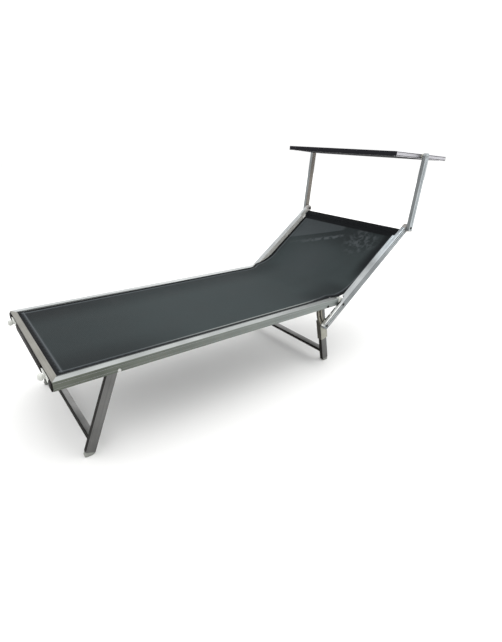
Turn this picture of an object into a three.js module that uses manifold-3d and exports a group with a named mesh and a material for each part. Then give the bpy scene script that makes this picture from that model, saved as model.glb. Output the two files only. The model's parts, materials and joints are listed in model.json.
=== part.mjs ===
// Sun lounger with canopy: a folding beach lounger of aluminium rails with a stretched fabric sling,
// a backrest that reclines on nylon racks, two folding leg frames and a canopy that tilts on two arms.
// Millimetres, +Z up, +X from the foot end to the head end, +Y to the right hand of someone lying on it.
// The origin is on the ground under the middle of the lounger.

import * as THREE from 'three';
import { mergeVertices } from 'three/addons/utils/BufferGeometryUtils.js';
import Module from 'manifold-3d';

const wasm = await Module();
wasm.setup();

// Sizes that many pieces share
const CLEARANCE = 0.3;
const OVERRUN = 6;
const TUBE_WALL = 1.5;
const ROUND_SIDES = 12;
const ARC_STEPS = 2;
const FABRIC_THICKNESS = 1.2;
const MERGE_SHARE = 0.001;

// Seat frame: an extruded rail with a channel for the fabric's piping along its inner edge
const SEAT_WIDTH = 686;
const SEAT_TOP = 368;
const SEAT_RAIL_LENGTH = 1345;
const RAIL_HEIGHT = 35.5;
const RAIL_WALL = 1.6;
const RAIL_CORNER = 2.5;
const SIDE_RAIL_WIDTH = 34;
const FOOT_RAIL_WIDTH = 22;
const FOOT_CHANNEL_DEPTH = 7;
const FOOT_CHANNEL_LIP = 5;
const SEAT_CROSS_WIDTH = 25;
const SEAT_CROSS_HEIGHT = 20;
const SEAT_CROSS_SETBACK = 55;

// Piping channel and the nylon rod that the fabric's hem holds in it
const CHANNEL_DROP = 5.4;
const CHANNEL_BORE = 7.2;
const CHANNEL_SLOT = 2.8;
const ROD_DIAMETER = 6.4;
const ROD_SIDES = 10;

// Backrest: its rails turn outside the seat rails and reach below the pivot. Their piping channel is near
// the rails' back faces, so that the fabric lies deep between the rails
const RECLINE_ANGLE = 37.7;
const PIVOT_FROM_HEAD = 12;
const PIVOT_DROP = 26;
const BACK_RAIL_WIDTH = 20;
const BACK_RAIL_DEPTH = 35.4;
const BACK_RAIL_GAP = 4;
const CAP_BOSS_DIAMETER = 20;
const CAP_WALL = 1.3;
const CAP_ROUNDING = 9;
const CAP_END_WALL = 4;
const BACK_RAIL_BELOW_PIVOT = 24.2;
const BACK_REACH_DOWN = 136.8;
const BACK_REACH_UP = 554;
const BACK_CHANNEL_WIDTH = 12;
const BACK_CHANNEL_START = 60;
const BACK_CHANNEL_SETBACK = 82;
const BACK_CHANNEL_DROP = 29.2;
const BACK_SLOT_LENGTH = 34;
const BACK_SLOT_PITCH = 45;
const BACK_SLOT_WIDTH = 4;
const BACK_SLOT_COUNT = 3;
const TOP_TUBE_WIDTH = 32;
const TOP_TUBE_DEPTH = 14;
const TOP_TUBE_CORNER = 5;
const TOP_TUBE_REACH = 67;
const TOP_HEM_INSET = 8;

// Sling: one stretched sheet, drawn as the seat's panel, the free bend at the hinge and the back's panel
const BEND_SETBACK = 118;
const SEAT_SAG = 3;
const BACK_PANEL_START = 165;
const SPREAD_START_SHARE = 0.417;
const SPREAD_END_SHARE = 0.583;
const BACK_SAG = 3;
const PANEL_STEPS = 8;
const PANEL_STEPS_ACROSS = 4;
const BEND_STEPS = 12;

// Bolts, screws and rivets
const BOLT_DIAMETER = 8;
const BOLT_HEAD_DIAMETER = 14;
const BOLT_HEAD_HEIGHT = 2.6;
const NUT_DIAMETER = 13;
const NUT_HEIGHT = 5;
const DOME_SHARE = 0.6;
const CHEEK_SHARE = 0.25;
const SHOULDER_SHARE = 0.9;
const RIVET_HEAD_DIAMETER = 12;
const RIVET_COLLAR_DIAMETER = 16;

// Corner keys inside the mitred corners
const KEY_LENGTH = 52;
const KEY_THICKNESS = 11;
const KEY_HEIGHT = 20;
const KEY_LIFT = 3;

// Round end bumpers that the folded lounger stands on
const BUMPER_INSET = 89;
const BUMPER_DIAMETER = 25;
const BUMPER_LENGTH = 22;
const BUMPER_STEM_DIAMETER = 15;
const BUMPER_STEM_LENGTH = 8;
const BUMPER_DROP = 20;
const BRACKET_LENGTH = 104;
const BRACKET_HEIGHT = 22;
const BRACKET_THICKNESS = 3;
const BRACKET_TIP = 10;
const BRACKET_SCREW_INSET = 13;

// Leg frames: two flat tubes and a low crossbar each
const LEG_WIDTH = 36;
const LEG_THICKNESS = 20;
const LEG_CORNER = 3;
const LEG_GAP = 9;
const LEG_PIVOT_DROP = 28;
const FRONT_LEG_PIVOT = 210;
const FRONT_LEG_ANGLE = 20.8;
const REAR_LEG_SETBACK = 83;
const REAR_LEG_ANGLE = -13;
const FOOT_HEIGHT = 9;
const FOOT_INSET = 1;
const FOOT_ROUNDING = 10;
const PLUG_LENGTH = 14;
const CROSSBAR_HEIGHT = 60;
const CROSSBAR_WIDTH = 30;
const CROSSBAR_DEPTH = 18;
const STOP_PIN_DIAMETER = 8;
const STOP_PIN_DROP = 9;
const SLEEVE_START = 96;
const SLEEVE_LENGTH = 108;
const SLEEVE_WALL = 5;

// Nylon racks under the seat rails: a curved slot with notches for the backrest's pins
const RACK_THICKNESS = 12;
const RACK_INSET = 1;
const RACK_INNER_BAND = 13;
const RACK_OUTER_BAND = 13;
const RACK_SLOT_PLAY = 0.6;
const RACK_TOP_ANGLE = 2;
const RACK_END_ANGLE = 9;
const LOWEST_RECLINE_ANGLE = 34;
const OVERLIFT_ANGLE = 8;
const NOTCH_ANGLES = [0, 11.5, 23, 34];
const NOTCH_OFFSET = 3.2;
const NOTCH_DIAMETER = 9;
const RACK_ARC_STEPS = 10;
const FLANGE_THICKNESS = 4;
const FLANGE_WIDTH = 17;
const FLANGE_LENGTH = 84;

// Canopy: two arms on the backrest's tips and a flat frame that tilts on them
const ARM_LENGTH = 345;
const ARM_WIDTH = 30;
const ARM_THICKNESS = 18;
const ARM_ANGLE = 4.4;
const ARM_GAP = 2;
const ARM_END = 13;
const ARM_CAP_THICKNESS = 4;
const ARM_CAP_PROUD = 2;
const CANOPY_GAP = 8;
const CANOPY_DEPTH = 445;
const CANOPY_FRONT_REACH = 221;
const CANOPY_ANGLE = 3;
const CANOPY_RAIL_WIDTH = 20;
const CANOPY_RAIL_HEIGHT = 21;
const CANOPY_RAIL_CORNER = 3;
const CANOPY_TUBE_SIZE = 18;
const CANOPY_SAG = 5;
const CANOPY_CAP_THICKNESS = 4;
const CANOPY_STEPS = 8;
const CANOPY_STEPS_ACROSS = 2;
const TILT_WASHER_DIAMETER = 26;

// Colours and finishes
const FINISHES = {
  rail: { color: 0xc4c9c7, roughness: 0.36, metalness: 0.9 },
  leg: { color: 0x8f9190, roughness: 0.42, metalness: 0.85 },
  fabric: { color: 0x3d4346, roughness: 0.85, metalness: 0 },
  sleeve: { color: 0x1f2124, roughness: 0.9, metalness: 0 },
  nylon: { color: 0xb3b2a2, roughness: 0.55, metalness: 0 },
  plastic: { color: 0xb8b9b3, roughness: 0.5, metalness: 0 },
  steel: { color: 0x6e7072, roughness: 0.35, metalness: 1 },
};

const DEGREE = Math.PI / 180;
const PIVOT_FROM_FOOT = SEAT_RAIL_LENGTH - PIVOT_FROM_HEAD;
const PIVOT_HEIGHT = SEAT_TOP - PIVOT_DROP;
const REAR_LEG_PIVOT = PIVOT_FROM_FOOT - REAR_LEG_SETBACK;
const LEG_PIVOT_HEIGHT = SEAT_TOP - LEG_PIVOT_DROP;
const SEAT_PANEL_LENGTH = PIVOT_FROM_FOOT - BEND_SETBACK;
const BUMPER_HEIGHT = SEAT_TOP - BUMPER_DROP;
const SEAT_HALF = SEAT_WIDTH / 2;
const SEAT_INNER = SEAT_HALF - SIDE_RAIL_WIDTH;
const RAIL_UNDERSIDE = SEAT_TOP - RAIL_HEIGHT;
const BACK_INNER = SEAT_HALF + BACK_RAIL_GAP;
const BACK_OUTER = BACK_INNER + BACK_RAIL_WIDTH;
const BACK_FRONT = BACK_RAIL_DEPTH - BACK_RAIL_BELOW_PIVOT;
const BACK_MIDDLE = BACK_FRONT - BACK_RAIL_DEPTH / 2;
const BACK_REAR = BACK_FRONT - BACK_RAIL_DEPTH;
const BACK_FABRIC = BACK_FRONT - BACK_CHANNEL_DROP;
const BACK_END_RADIUS = BACK_RAIL_DEPTH / 2;
const BACK_CHANNEL_END = BACK_REACH_UP - BACK_CHANNEL_SETBACK;
const TOP_TUBE_END = BACK_CHANNEL_END + TOP_TUBE_REACH;
const TOP_TUBE_START = TOP_TUBE_END - TOP_TUBE_WIDTH;
const ARM_INNER = BACK_OUTER + ARM_GAP;
const ARM_OUTER = ARM_INNER + ARM_THICKNESS;
const CANOPY_HALF = ARM_INNER - CANOPY_GAP;
const CANOPY_INNER = CANOPY_HALF - CANOPY_RAIL_WIDTH;
const LEG_OUTER = SEAT_INNER - LEG_GAP;
const LEG_INNER = LEG_OUTER - LEG_THICKNESS;
const PIN_RADIUS = Math.hypot(BACK_REACH_DOWN, BACK_MIDDLE);
const PIN_ANGLE = RECLINE_ANGLE + Math.atan2(-BACK_MIDDLE, BACK_REACH_DOWN) / DEGREE;
const FOLD_LENGTH = Math.hypot(LEG_WIDTH, LEG_PIVOT_HEIGHT);

// Turns a closed geometry into a solid that can be joined and cut
function solidOf(geometry) {
  const bare = geometry.index ? geometry.toNonIndexed() : geometry.clone();
  for (const name of Object.keys(bare.attributes)) {
    if (name !== 'position') {
      bare.deleteAttribute(name);
    }
  }
  const merged = mergeVertices(bare, CLEARANCE * MERGE_SHARE);
  const corners = new Uint32Array(merged.index.array);
  if (signedVolume(merged.attributes.position.array, corners) < 0) {
    for (let i = 0; i < corners.length; i += 3) {
      const second = corners[i + 1];
      corners[i + 1] = corners[i + 2];
      corners[i + 2] = second;
    }
  }
  const vertProperties = new Float32Array(merged.attributes.position.array);
  return new wasm.Manifold(new wasm.Mesh({ numProp: 3, vertProperties, triVerts: corners }));
}

function signedVolume(places, corners) {
  const a = new THREE.Vector3();
  const b = new THREE.Vector3();
  const c = new THREE.Vector3();
  let sum = 0;
  for (let i = 0; i < corners.length; i += 3) {
    a.fromArray(places, corners[i] * 3);
    b.fromArray(places, corners[i + 1] * 3);
    c.fromArray(places, corners[i + 2] * 3);
    sum += a.dot(b.cross(c));
  }
  return sum;
}

function geometryOf(solid) {
  const cut = solid.getMesh();
  const places = new Float32Array((cut.vertProperties.length / cut.numProp) * 3);
  for (let i = 0; i < places.length / 3; i += 1) {
    for (let k = 0; k < 3; k += 1) {
      places[i * 3 + k] = cut.vertProperties[i * cut.numProp + k];
    }
  }
  const geometry = new THREE.BufferGeometry();
  geometry.setAttribute('position', new THREE.BufferAttribute(places, 3));
  geometry.setIndex(new THREE.BufferAttribute(new Uint32Array(cut.triVerts), 1));
  return geometry;
}

function joined(pieces) {
  return pieces.slice(1).reduce((whole, piece) => whole.add(piece), pieces[0]);
}

function cutBy(solid, cutters) {
  return cutters.reduce((rest, cutter) => rest.subtract(cutter), solid);
}

function namedMesh(name, solid, finish) {
  const geometry = geometryOf(solid);
  geometry.computeVertexNormals();
  const mesh = new THREE.Mesh(geometry, new THREE.MeshStandardMaterial(FINISHES[finish]));
  mesh.name = name;
  return mesh;
}

// The same piece on the other side of the lounger's middle plane
function mirrored(solid) {
  const geometry = geometryOf(solid);
  geometry.scale(1, -1, 1);
  return solidOf(geometry);
}

// Adds a piece drawn for the left side (negative Y) and its mirror image for the right side
function addPair(group, name, solid, finish) {
  group.add(namedMesh(`${name}_left`, solid, finish));
  group.add(namedMesh(`${name}_right`, mirrored(solid), finish));
}

// A small piece together with its mirror image, to be joined or cut away in one step
function bothSides(solid) {
  return solid.add(mirrored(solid));
}

// Sweeps a profile drawn in (Y, Z) along X
function alongX(profile, from, to) {
  const options = { depth: to - from, bevelEnabled: false, curveSegments: ARC_STEPS };
  const geometry = new THREE.ExtrudeGeometry(profile, options);
  const axes = new THREE.Matrix4();
  axes.makeBasis(new THREE.Vector3(0, 1, 0), new THREE.Vector3(0, 0, 1), new THREE.Vector3(1, 0, 0));
  geometry.applyMatrix4(axes);
  geometry.translate(from, 0, 0);
  return solidOf(geometry);
}

// Sweeps a profile drawn in (X, Z) along Y
function alongY(profile, from, to, steps = ARC_STEPS) {
  const options = { depth: to - from, bevelEnabled: false, curveSegments: steps };
  const geometry = new THREE.ExtrudeGeometry(profile, options);
  const axes = new THREE.Matrix4();
  axes.makeBasis(new THREE.Vector3(1, 0, 0), new THREE.Vector3(0, 0, 1), new THREE.Vector3(0, -1, 0));
  geometry.applyMatrix4(axes);
  geometry.translate(0, to, 0);
  return solidOf(geometry);
}

// Sweeps a profile drawn in (X, Y) along Z
function alongZ(profile, from, to) {
  const options = { depth: to - from, bevelEnabled: false, curveSegments: ARC_STEPS };
  const geometry = new THREE.ExtrudeGeometry(profile, options);
  geometry.translate(0, 0, from);
  return solidOf(geometry);
}

function box(x0, x1, y0, y1, z0, z1) {
  const geometry = new THREE.BoxGeometry(x1 - x0, y1 - y0, z1 - z0);
  geometry.translate((x0 + x1) / 2, (y0 + y1) / 2, (z0 + z1) / 2);
  return solidOf(geometry);
}

function polygon(points) {
  return new THREE.Shape(points.map(([u, v]) => new THREE.Vector2(u, v)));
}

// A rectangle with rounded corners between two opposite corners
function roundedOutline(u0, u1, v0, v1, radius) {
  const path = new THREE.Shape();
  path.moveTo(u0 + radius, v0);
  path.lineTo(u1 - radius, v0);
  path.absarc(u1 - radius, v0 + radius, radius, -Math.PI / 2, 0, false);
  path.lineTo(u1, v1 - radius);
  path.absarc(u1 - radius, v1 - radius, radius, 0, Math.PI / 2, false);
  path.lineTo(u0 + radius, v1);
  path.absarc(u0 + radius, v1 - radius, radius, Math.PI / 2, Math.PI, false);
  path.lineTo(u0, v0 + radius);
  path.absarc(u0 + radius, v0 + radius, radius, Math.PI, Math.PI * 1.5, false);
  return path;
}

// The same rectangle as a tube's section, with its wall
function tubeOutline(u0, u1, v0, v1, radius, wall) {
  const outline = roundedOutline(u0, u1, v0, v1, radius);
  const inner = Math.max(radius - wall, wall / 2);
  outline.holes.push(roundedOutline(u0 + wall, u1 - wall, v0 + wall, v1 - wall, inner));
  return outline;
}

// A cylinder along Y
function rodY(radius, y0, y1, x, z, sides = ROUND_SIDES) {
  const geometry = new THREE.CylinderGeometry(radius, radius, y1 - y0, sides);
  geometry.translate(x, (y0 + y1) / 2, z);
  return solidOf(geometry);
}

// A round piece turned about Y from a profile of [radius, y] points that starts and ends on the axis
function turnedY(profile, x, z, sides = ROUND_SIDES) {
  const points = profile.map(([radius, y]) => new THREE.Vector2(radius, y));
  const geometry = new THREE.LatheGeometry(points, sides);
  geometry.translate(x, 0, z);
  return solidOf(geometry);
}

// A round piece turned about X
function turnedX(profile, y, z, sides = ROUND_SIDES) {
  const points = profile.map(([radius, x]) => new THREE.Vector2(radius, x));
  const geometry = new THREE.LatheGeometry(points, sides);
  geometry.rotateZ(-Math.PI / 2);
  geometry.translate(0, y, z);
  return solidOf(geometry);
}

// A domed bolt from its head, on the outside at y = outside, to its nut, whose near face is at y = inside
function boltY(outside, inside, x, z) {
  const head = BOLT_HEAD_DIAMETER / 2;
  const shank = BOLT_DIAMETER / 2;
  const nut = NUT_DIAMETER / 2;
  return turnedY([
    [0, outside - BOLT_HEAD_HEIGHT],
    [head * DOME_SHARE, outside - BOLT_HEAD_HEIGHT],
    [head * SHOULDER_SHARE, outside - BOLT_HEAD_HEIGHT / 2],
    [head, outside],
    [shank, outside],
    [shank, inside],
    [nut, inside],
    [nut, inside + NUT_HEIGHT],
    [0, inside + NUT_HEIGHT],
  ], x, z);
}

// A slab whose middle surface is a function of two shares, across and along, closed all round
function sheet(stepsAlong, stepsAcross, thickness, place) {
  const places = [];
  const corners = [];
  const up = new THREE.Vector3();
  const side = new THREE.Vector3();
  const step = 1 / (stepsAlong * stepsAcross);
  const count = stepsAcross + 1;
  for (let layer = 0; layer < 2; layer += 1) {
    for (let i = 0; i <= stepsAlong; i += 1) {
      for (let j = 0; j <= stepsAcross; j += 1) {
        const middle = place(i / stepsAlong, j / stepsAcross);
        up.subVectors(place(i / stepsAlong + step, j / stepsAcross), middle);
        side.subVectors(place(i / stepsAlong, j / stepsAcross + step), middle);
        up.cross(side).normalize().multiplyScalar(layer ? thickness / 2 : -thickness / 2);
        places.push(middle.x + up.x, middle.y + up.y, middle.z + up.z);
      }
    }
  }
  const index = (layer, i, j) => (layer * (stepsAlong + 1) + i) * count + j;
  const quad = (a, b, c, d) => corners.push(a, b, c, a, c, d);
  for (let i = 0; i < stepsAlong; i += 1) {
    for (let j = 0; j < stepsAcross; j += 1) {
      quad(index(1, i, j), index(1, i + 1, j), index(1, i + 1, j + 1), index(1, i, j + 1));
      quad(index(0, i, j), index(0, i, j + 1), index(0, i + 1, j + 1), index(0, i + 1, j));
    }
    quad(index(0, i, 0), index(0, i + 1, 0), index(1, i + 1, 0), index(1, i, 0));
    const last = stepsAcross;
    quad(index(0, i + 1, last), index(0, i, last), index(1, i, last), index(1, i + 1, last));
  }
  for (let j = 0; j < stepsAcross; j += 1) {
    quad(index(0, 0, j + 1), index(0, 0, j), index(1, 0, j), index(1, 0, j + 1));
    const last = stepsAlong;
    quad(index(0, last, j), index(0, last, j + 1), index(1, last, j + 1), index(1, last, j));
  }
  const geometry = new THREE.BufferGeometry();
  geometry.setAttribute('position', new THREE.BufferAttribute(new Float32Array(places), 3));
  geometry.setIndex(corners);
  return solidOf(geometry);
}

// The piping channel's outline on the inner side of a rail, from its lower lip to its upper lip
function channelPoints(width, drop) {
  const lip = width - RAIL_WALL;
  const deep = lip - CHANNEL_BORE;
  const slot = CHANNEL_SLOT / 2;
  const bore = CHANNEL_BORE / 2;
  return [
    [width, -drop - slot],
    [lip, -drop - slot],
    [lip, -drop - bore],
    [deep, -drop - bore],
    [deep, -drop + bore],
    [lip, -drop + bore],
    [lip, -drop + slot],
    [width, -drop + slot],
  ];
}

// How far below a rail's top the channel's own wall ends, and how far in from its inner face it starts
const CHANNEL_FLOOR = CHANNEL_DROP + CHANNEL_BORE / 2 + RAIL_WALL;
const CHANNEL_BACK = CHANNEL_BORE + RAIL_WALL * 2;
const ROD_INSET = RAIL_WALL + CHANNEL_BORE / 2;
const FABRIC_HEIGHT = SEAT_TOP - CHANNEL_DROP;

// Side rail section: width from the outer face at 0, height down from 0
function sideRailProfile() {
  const w = SIDE_RAIL_WIDTH;
  const h = RAIL_HEIGHT;
  const r = RAIL_CORNER;
  const path = new THREE.Shape();
  path.moveTo(r, -h);
  path.lineTo(w - r, -h);
  path.absarc(w - r, -h + r, r, -Math.PI / 2, 0, false);
  channelPoints(w, CHANNEL_DROP).forEach(([u, v]) => path.lineTo(u, v));
  path.lineTo(w, -RAIL_WALL);
  path.lineTo(w - RAIL_WALL, 0);
  path.lineTo(r, 0);
  path.absarc(r, -r, r, Math.PI / 2, Math.PI, false);
  path.lineTo(0, -h + r);
  path.absarc(r, -h + r, r, Math.PI, Math.PI * 1.5, false);
  path.holes.push(polygon([
    [RAIL_WALL, -h + RAIL_WALL],
    [w - RAIL_WALL, -h + RAIL_WALL],
    [w - RAIL_WALL, -CHANNEL_FLOOR],
    [w - CHANNEL_BACK, -CHANNEL_FLOOR],
    [w - CHANNEL_BACK, -RAIL_WALL],
    [RAIL_WALL, -RAIL_WALL],
  ]));
  return path;
}

// Foot rail section: an open channel faces the foot end, the piping channel faces the seat
function footRailProfile() {
  const w = FOOT_RAIL_WIDTH;
  const h = RAIL_HEIGHT;
  const deep = FOOT_CHANNEL_DEPTH;
  const lip = FOOT_CHANNEL_LIP;
  const points = [
    [0, -h],
    [w, -h],
    ...channelPoints(w, CHANNEL_DROP),
    [w, -RAIL_WALL],
    [w - RAIL_WALL, 0],
    [RAIL_WALL, 0],
    [0, -RAIL_WALL],
    [0, -lip],
    [deep, -lip],
    [deep, -h + lip],
    [0, -h + lip],
  ];
  const path = polygon(points);
  path.holes.push(polygon([
    [deep + RAIL_WALL, -h + RAIL_WALL],
    [w - RAIL_WALL, -h + RAIL_WALL],
    [w - RAIL_WALL, -CHANNEL_FLOOR],
    [deep + RAIL_WALL, -CHANNEL_FLOOR],
  ]));
  return path;
}

// Back rail section: a box with a second, narrower chamber on its inner side, over the piping channel
function backRailProfile() {
  const w = BACK_RAIL_WIDTH;
  const full = w + BACK_CHANNEL_WIDTH;
  const h = BACK_RAIL_DEPTH;
  const r = RAIL_CORNER;
  const path = new THREE.Shape();
  path.moveTo(r, -h);
  path.lineTo(full - RAIL_WALL, -h);
  path.lineTo(full, -h + RAIL_WALL);
  channelPoints(full, BACK_CHANNEL_DROP).forEach(([u, v]) => path.lineTo(u, v));
  path.lineTo(full, -RAIL_WALL);
  path.lineTo(full - RAIL_WALL, 0);
  path.lineTo(r, 0);
  path.absarc(r, -r, r, Math.PI / 2, Math.PI, false);
  path.lineTo(0, -h + r);
  path.absarc(r, -h + r, r, Math.PI, Math.PI * 1.5, false);
  path.holes.push(polygon([
    [RAIL_WALL, -h + RAIL_WALL],
    [w - RAIL_WALL, -h + RAIL_WALL],
    [w - RAIL_WALL, -RAIL_WALL],
    [RAIL_WALL, -RAIL_WALL],
  ]));
  const floor = BACK_CHANNEL_DROP - CHANNEL_BORE / 2 - RAIL_WALL;
  path.holes.push(polygon([
    [w + RAIL_WALL, -floor],
    [full - RAIL_WALL, -floor],
    [full - RAIL_WALL, -RAIL_WALL],
    [w + RAIL_WALL, -RAIL_WALL],
  ]));
  return path;
}

// The solid on one side of the mitre between the foot rail and the left side rail
function mitreCutter(side) {
  const slope = SIDE_RAIL_WIDTH / FOOT_RAIL_WIDTH;
  const start = -OVERRUN;
  const end = side === 'side' ? FOOT_RAIL_WIDTH : FOOT_RAIL_WIDTH + OVERRUN;
  const far = side === 'side' ? SIDE_RAIL_WIDTH + OVERRUN : -OVERRUN * slope - OVERRUN;
  const shift = side === 'side' ? -CLEARANCE : CLEARANCE;
  const line = (x) => -SEAT_HALF + x * slope + shift;
  const outline = polygon([
    [start, line(start)],
    [end, line(end)],
    [end, -SEAT_HALF + far],
    [start, -SEAT_HALF + far],
  ]);
  return alongZ(outline, RAIL_UNDERSIDE - OVERRUN, SEAT_TOP + OVERRUN);
}

const HOLE = BOLT_DIAMETER / 2 + CLEARANCE;

// Where a leg's stop pin stands, beside the leg's outward edge and below its pivot
function stopPinPlace(pivotX, lean) {
  const outward = Math.sign(lean);
  const across = -outward * (LEG_WIDTH / 2 + STOP_PIN_DIAMETER / 2 + CLEARANCE);
  const turn = lean * DEGREE;
  return {
    x: pivotX + across * Math.cos(turn) - STOP_PIN_DROP * Math.sin(turn),
    z: LEG_PIVOT_HEIGHT - across * Math.sin(turn) - STOP_PIN_DROP * Math.cos(turn),
  };
}

const FRONT_STOP = stopPinPlace(FRONT_LEG_PIVOT, FRONT_LEG_ANGLE);
const REAR_STOP = stopPinPlace(REAR_LEG_PIVOT, REAR_LEG_ANGLE);

// A side rail with the two studs, welded to its inner wall, that the legs open against
function seatRail() {
  const profile = sideRailProfile();
  const rail = alongX(profile, 0, SEAT_RAIL_LENGTH);
  const placed = geometryOf(rail);
  placed.translate(0, -SEAT_HALF, SEAT_TOP);
  const through = [-SEAT_HALF - OVERRUN, -SEAT_INNER + OVERRUN];
  const pins = [FRONT_STOP, REAR_STOP].map((place) => rodY(STOP_PIN_DIAMETER / 2, -SEAT_INNER - RAIL_WALL,
    -LEG_INNER, place.x, place.z));
  return cutBy(joined([solidOf(placed), ...pins]), [
    mitreCutter('side'),
    rodY(HOLE, ...through, PIVOT_FROM_FOOT, PIVOT_HEIGHT),
    rodY(HOLE, ...through, FRONT_LEG_PIVOT, LEG_PIVOT_HEIGHT),
    rodY(HOLE, ...through, REAR_LEG_PIVOT, LEG_PIVOT_HEIGHT),
  ]);
}

const RACK_OUTER_FACE = SEAT_HALF - RACK_INSET;
const RACK_INNER_FACE = RACK_OUTER_FACE - RACK_THICKNESS;
const FLANGE_TOP = RAIL_UNDERSIDE - CLEARANCE;
const FLANGE_START = PIVOT_FROM_FOOT - PIN_RADIUS - RACK_OUTER_BAND;

function footRail() {
  const rail = alongY(footRailProfile(), -SEAT_HALF, SEAT_HALF);
  const placed = geometryOf(rail);
  placed.translate(0, 0, SEAT_TOP);
  return solidOf(placed).subtract(bothSides(mitreCutter('foot')));
}

// The key runs through the mitre, one leg in each rail's hollow
function cornerKey() {
  const low = RAIL_UNDERSIDE + KEY_LIFT;
  const start = FOOT_CHANNEL_DEPTH + RAIL_WALL + CLEARANCE;
  const footLegEnd = FOOT_RAIL_WIDTH - RAIL_WALL - CLEARANCE;
  const outer = -SEAT_HALF + RAIL_WALL + CLEARANCE;
  const footLeg = box(start, footLegEnd, outer, outer + KEY_LENGTH, low, low + KEY_HEIGHT);
  const tall = SEAT_TOP - RAIL_WALL - CLEARANCE - low;
  const sideLeg = box(start, start + KEY_LENGTH, outer, outer + KEY_THICKNESS, low, low + tall);
  return footLeg.add(sideLeg);
}

function seatCrossTube() {
  const start = SEAT_RAIL_LENGTH - SEAT_CROSS_SETBACK;
  const low = RAIL_UNDERSIDE + RAIL_WALL;
  const section = tubeOutline(start, start + SEAT_CROSS_WIDTH, low, low + SEAT_CROSS_HEIGHT, RAIL_CORNER,
    TUBE_WALL);
  const half = SEAT_INNER - CLEARANCE;
  return alongY(section, -half, half);
}

// A nylon cap that slips over the seat rail's head end and rounds it off
function seatRailCap() {
  const start = PIVOT_FROM_FOOT - RAIL_HEIGHT / 2;
  const end = SEAT_RAIL_LENGTH + CAP_END_WALL;
  const low = RAIL_UNDERSIDE - CAP_WALL;
  const high = SEAT_TOP + CAP_WALL;
  const outer = roundedOutline(start, end, low, high, CAP_ROUNDING);
  const block = alongY(outer, -SEAT_HALF - CAP_WALL, -SEAT_INNER + CAP_WALL);
  const room = box(start - OVERRUN, SEAT_RAIL_LENGTH + CLEARANCE, -SEAT_HALF - CLEARANCE,
    -SEAT_INNER + CLEARANCE, RAIL_UNDERSIDE - CLEARANCE, SEAT_TOP + CLEARANCE);
  const square = box(start - OVERRUN, start + OVERRUN, -SEAT_HALF - OVERRUN, -SEAT_INNER + OVERRUN,
    low - OVERRUN, high + OVERRUN);
  const hole = rodY(HOLE, -SEAT_HALF - OVERRUN, -SEAT_INNER + OVERRUN, PIVOT_FROM_FOOT, PIVOT_HEIGHT);
  const boss = rodY(CAP_BOSS_DIAMETER / 2, -BACK_INNER + CLEARANCE, -SEAT_HALF - CLEARANCE, PIVOT_FROM_FOOT,
    PIVOT_HEIGHT);
  return cutBy(cutBy(block, [room, square]).add(boss), [hole]);
}

// The end bumper: a pointed plate on the foot rail with a domed foot on a short stem, moulded in one
function endBumper() {
  const half = BRACKET_LENGTH / 2;
  const middle = BUMPER_INSET - SEAT_HALF;
  const point = BRACKET_TIP / 2;
  const high = BRACKET_HEIGHT / 2;
  const waist = half - BRACKET_SCREW_INSET * 2;
  const outline = polygon([
    [middle - half, BUMPER_HEIGHT - point],
    [middle - waist, BUMPER_HEIGHT - high],
    [middle + waist, BUMPER_HEIGHT - high],
    [middle + half, BUMPER_HEIGHT - point],
    [middle + half, BUMPER_HEIGHT + point],
    [middle + waist, BUMPER_HEIGHT + high],
    [middle - waist, BUMPER_HEIGHT + high],
    [middle - half, BUMPER_HEIGHT + point],
  ]);
  const plate = alongX(outline, -BRACKET_THICKNESS - CLEARANCE, -CLEARANCE);
  const back = -BRACKET_THICKNESS;
  const stem = BUMPER_STEM_DIAMETER / 2;
  const round = BUMPER_DIAMETER / 2;
  const neck = back - BUMPER_STEM_LENGTH;
  const tip = back - BUMPER_LENGTH;
  const swell = neck - tip;
  const knob = turnedX([
    [0, tip],
    [round * DOME_SHARE, tip],
    [round * SHOULDER_SHARE, tip + swell * CHEEK_SHARE],
    [round, tip + swell / 2],
    [round * SHOULDER_SHARE, neck],
    [stem, neck + BUMPER_STEM_LENGTH * CHEEK_SHARE],
    [stem, back],
    [0, back],
  ], middle, BUMPER_HEIGHT);
  return plate.add(knob);
}

// Bolts through the seat rails: the backrest's pivots and the legs' pivots
function hingeBolt() {
  return boltY(-BACK_OUTER - CLEARANCE, -SEAT_INNER + CAP_WALL + CLEARANCE, PIVOT_FROM_FOOT, PIVOT_HEIGHT);
}

// A shouldered rivet: its collar keeps the leg clear of the rail, and both its ends are closed over
function legRivet(x) {
  const head = RIVET_HEAD_DIAMETER / 2;
  const shank = BOLT_DIAMETER / 2;
  const collar = RIVET_COLLAR_DIAMETER / 2;
  const outer = -SEAT_HALF - CLEARANCE;
  const inner = -LEG_INNER + CLEARANCE;
  return turnedY([
    [0, outer - BOLT_HEAD_HEIGHT],
    [head * DOME_SHARE, outer - BOLT_HEAD_HEIGHT],
    [head, outer - BOLT_HEAD_HEIGHT / 2],
    [head, outer],
    [shank, outer],
    [shank, -SEAT_INNER + CLEARANCE],
    [collar, -SEAT_INNER + CLEARANCE],
    [collar, -LEG_OUTER - CLEARANCE],
    [shank, -LEG_OUTER - CLEARANCE],
    [shank, inner],
    [head, inner],
    [head, inner + BOLT_HEAD_HEIGHT],
    [0, inner + BOLT_HEAD_HEIGHT],
  ], x, LEG_PIVOT_HEIGHT);
}

// The rack: a curved plate about the backrest's pivot with a slot for the pin and notches on its outer side
function arcBand(inner, outer, from, to) {
  const start = Math.PI + from * DEGREE;
  const end = Math.PI + to * DEGREE;
  const path = new THREE.Shape();
  path.absarc(PIVOT_FROM_FOOT, PIVOT_HEIGHT, outer, start, end, false);
  path.absarc(PIVOT_FROM_FOOT, PIVOT_HEIGHT, inner, end, start, true);
  path.closePath();
  return path;
}

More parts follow.
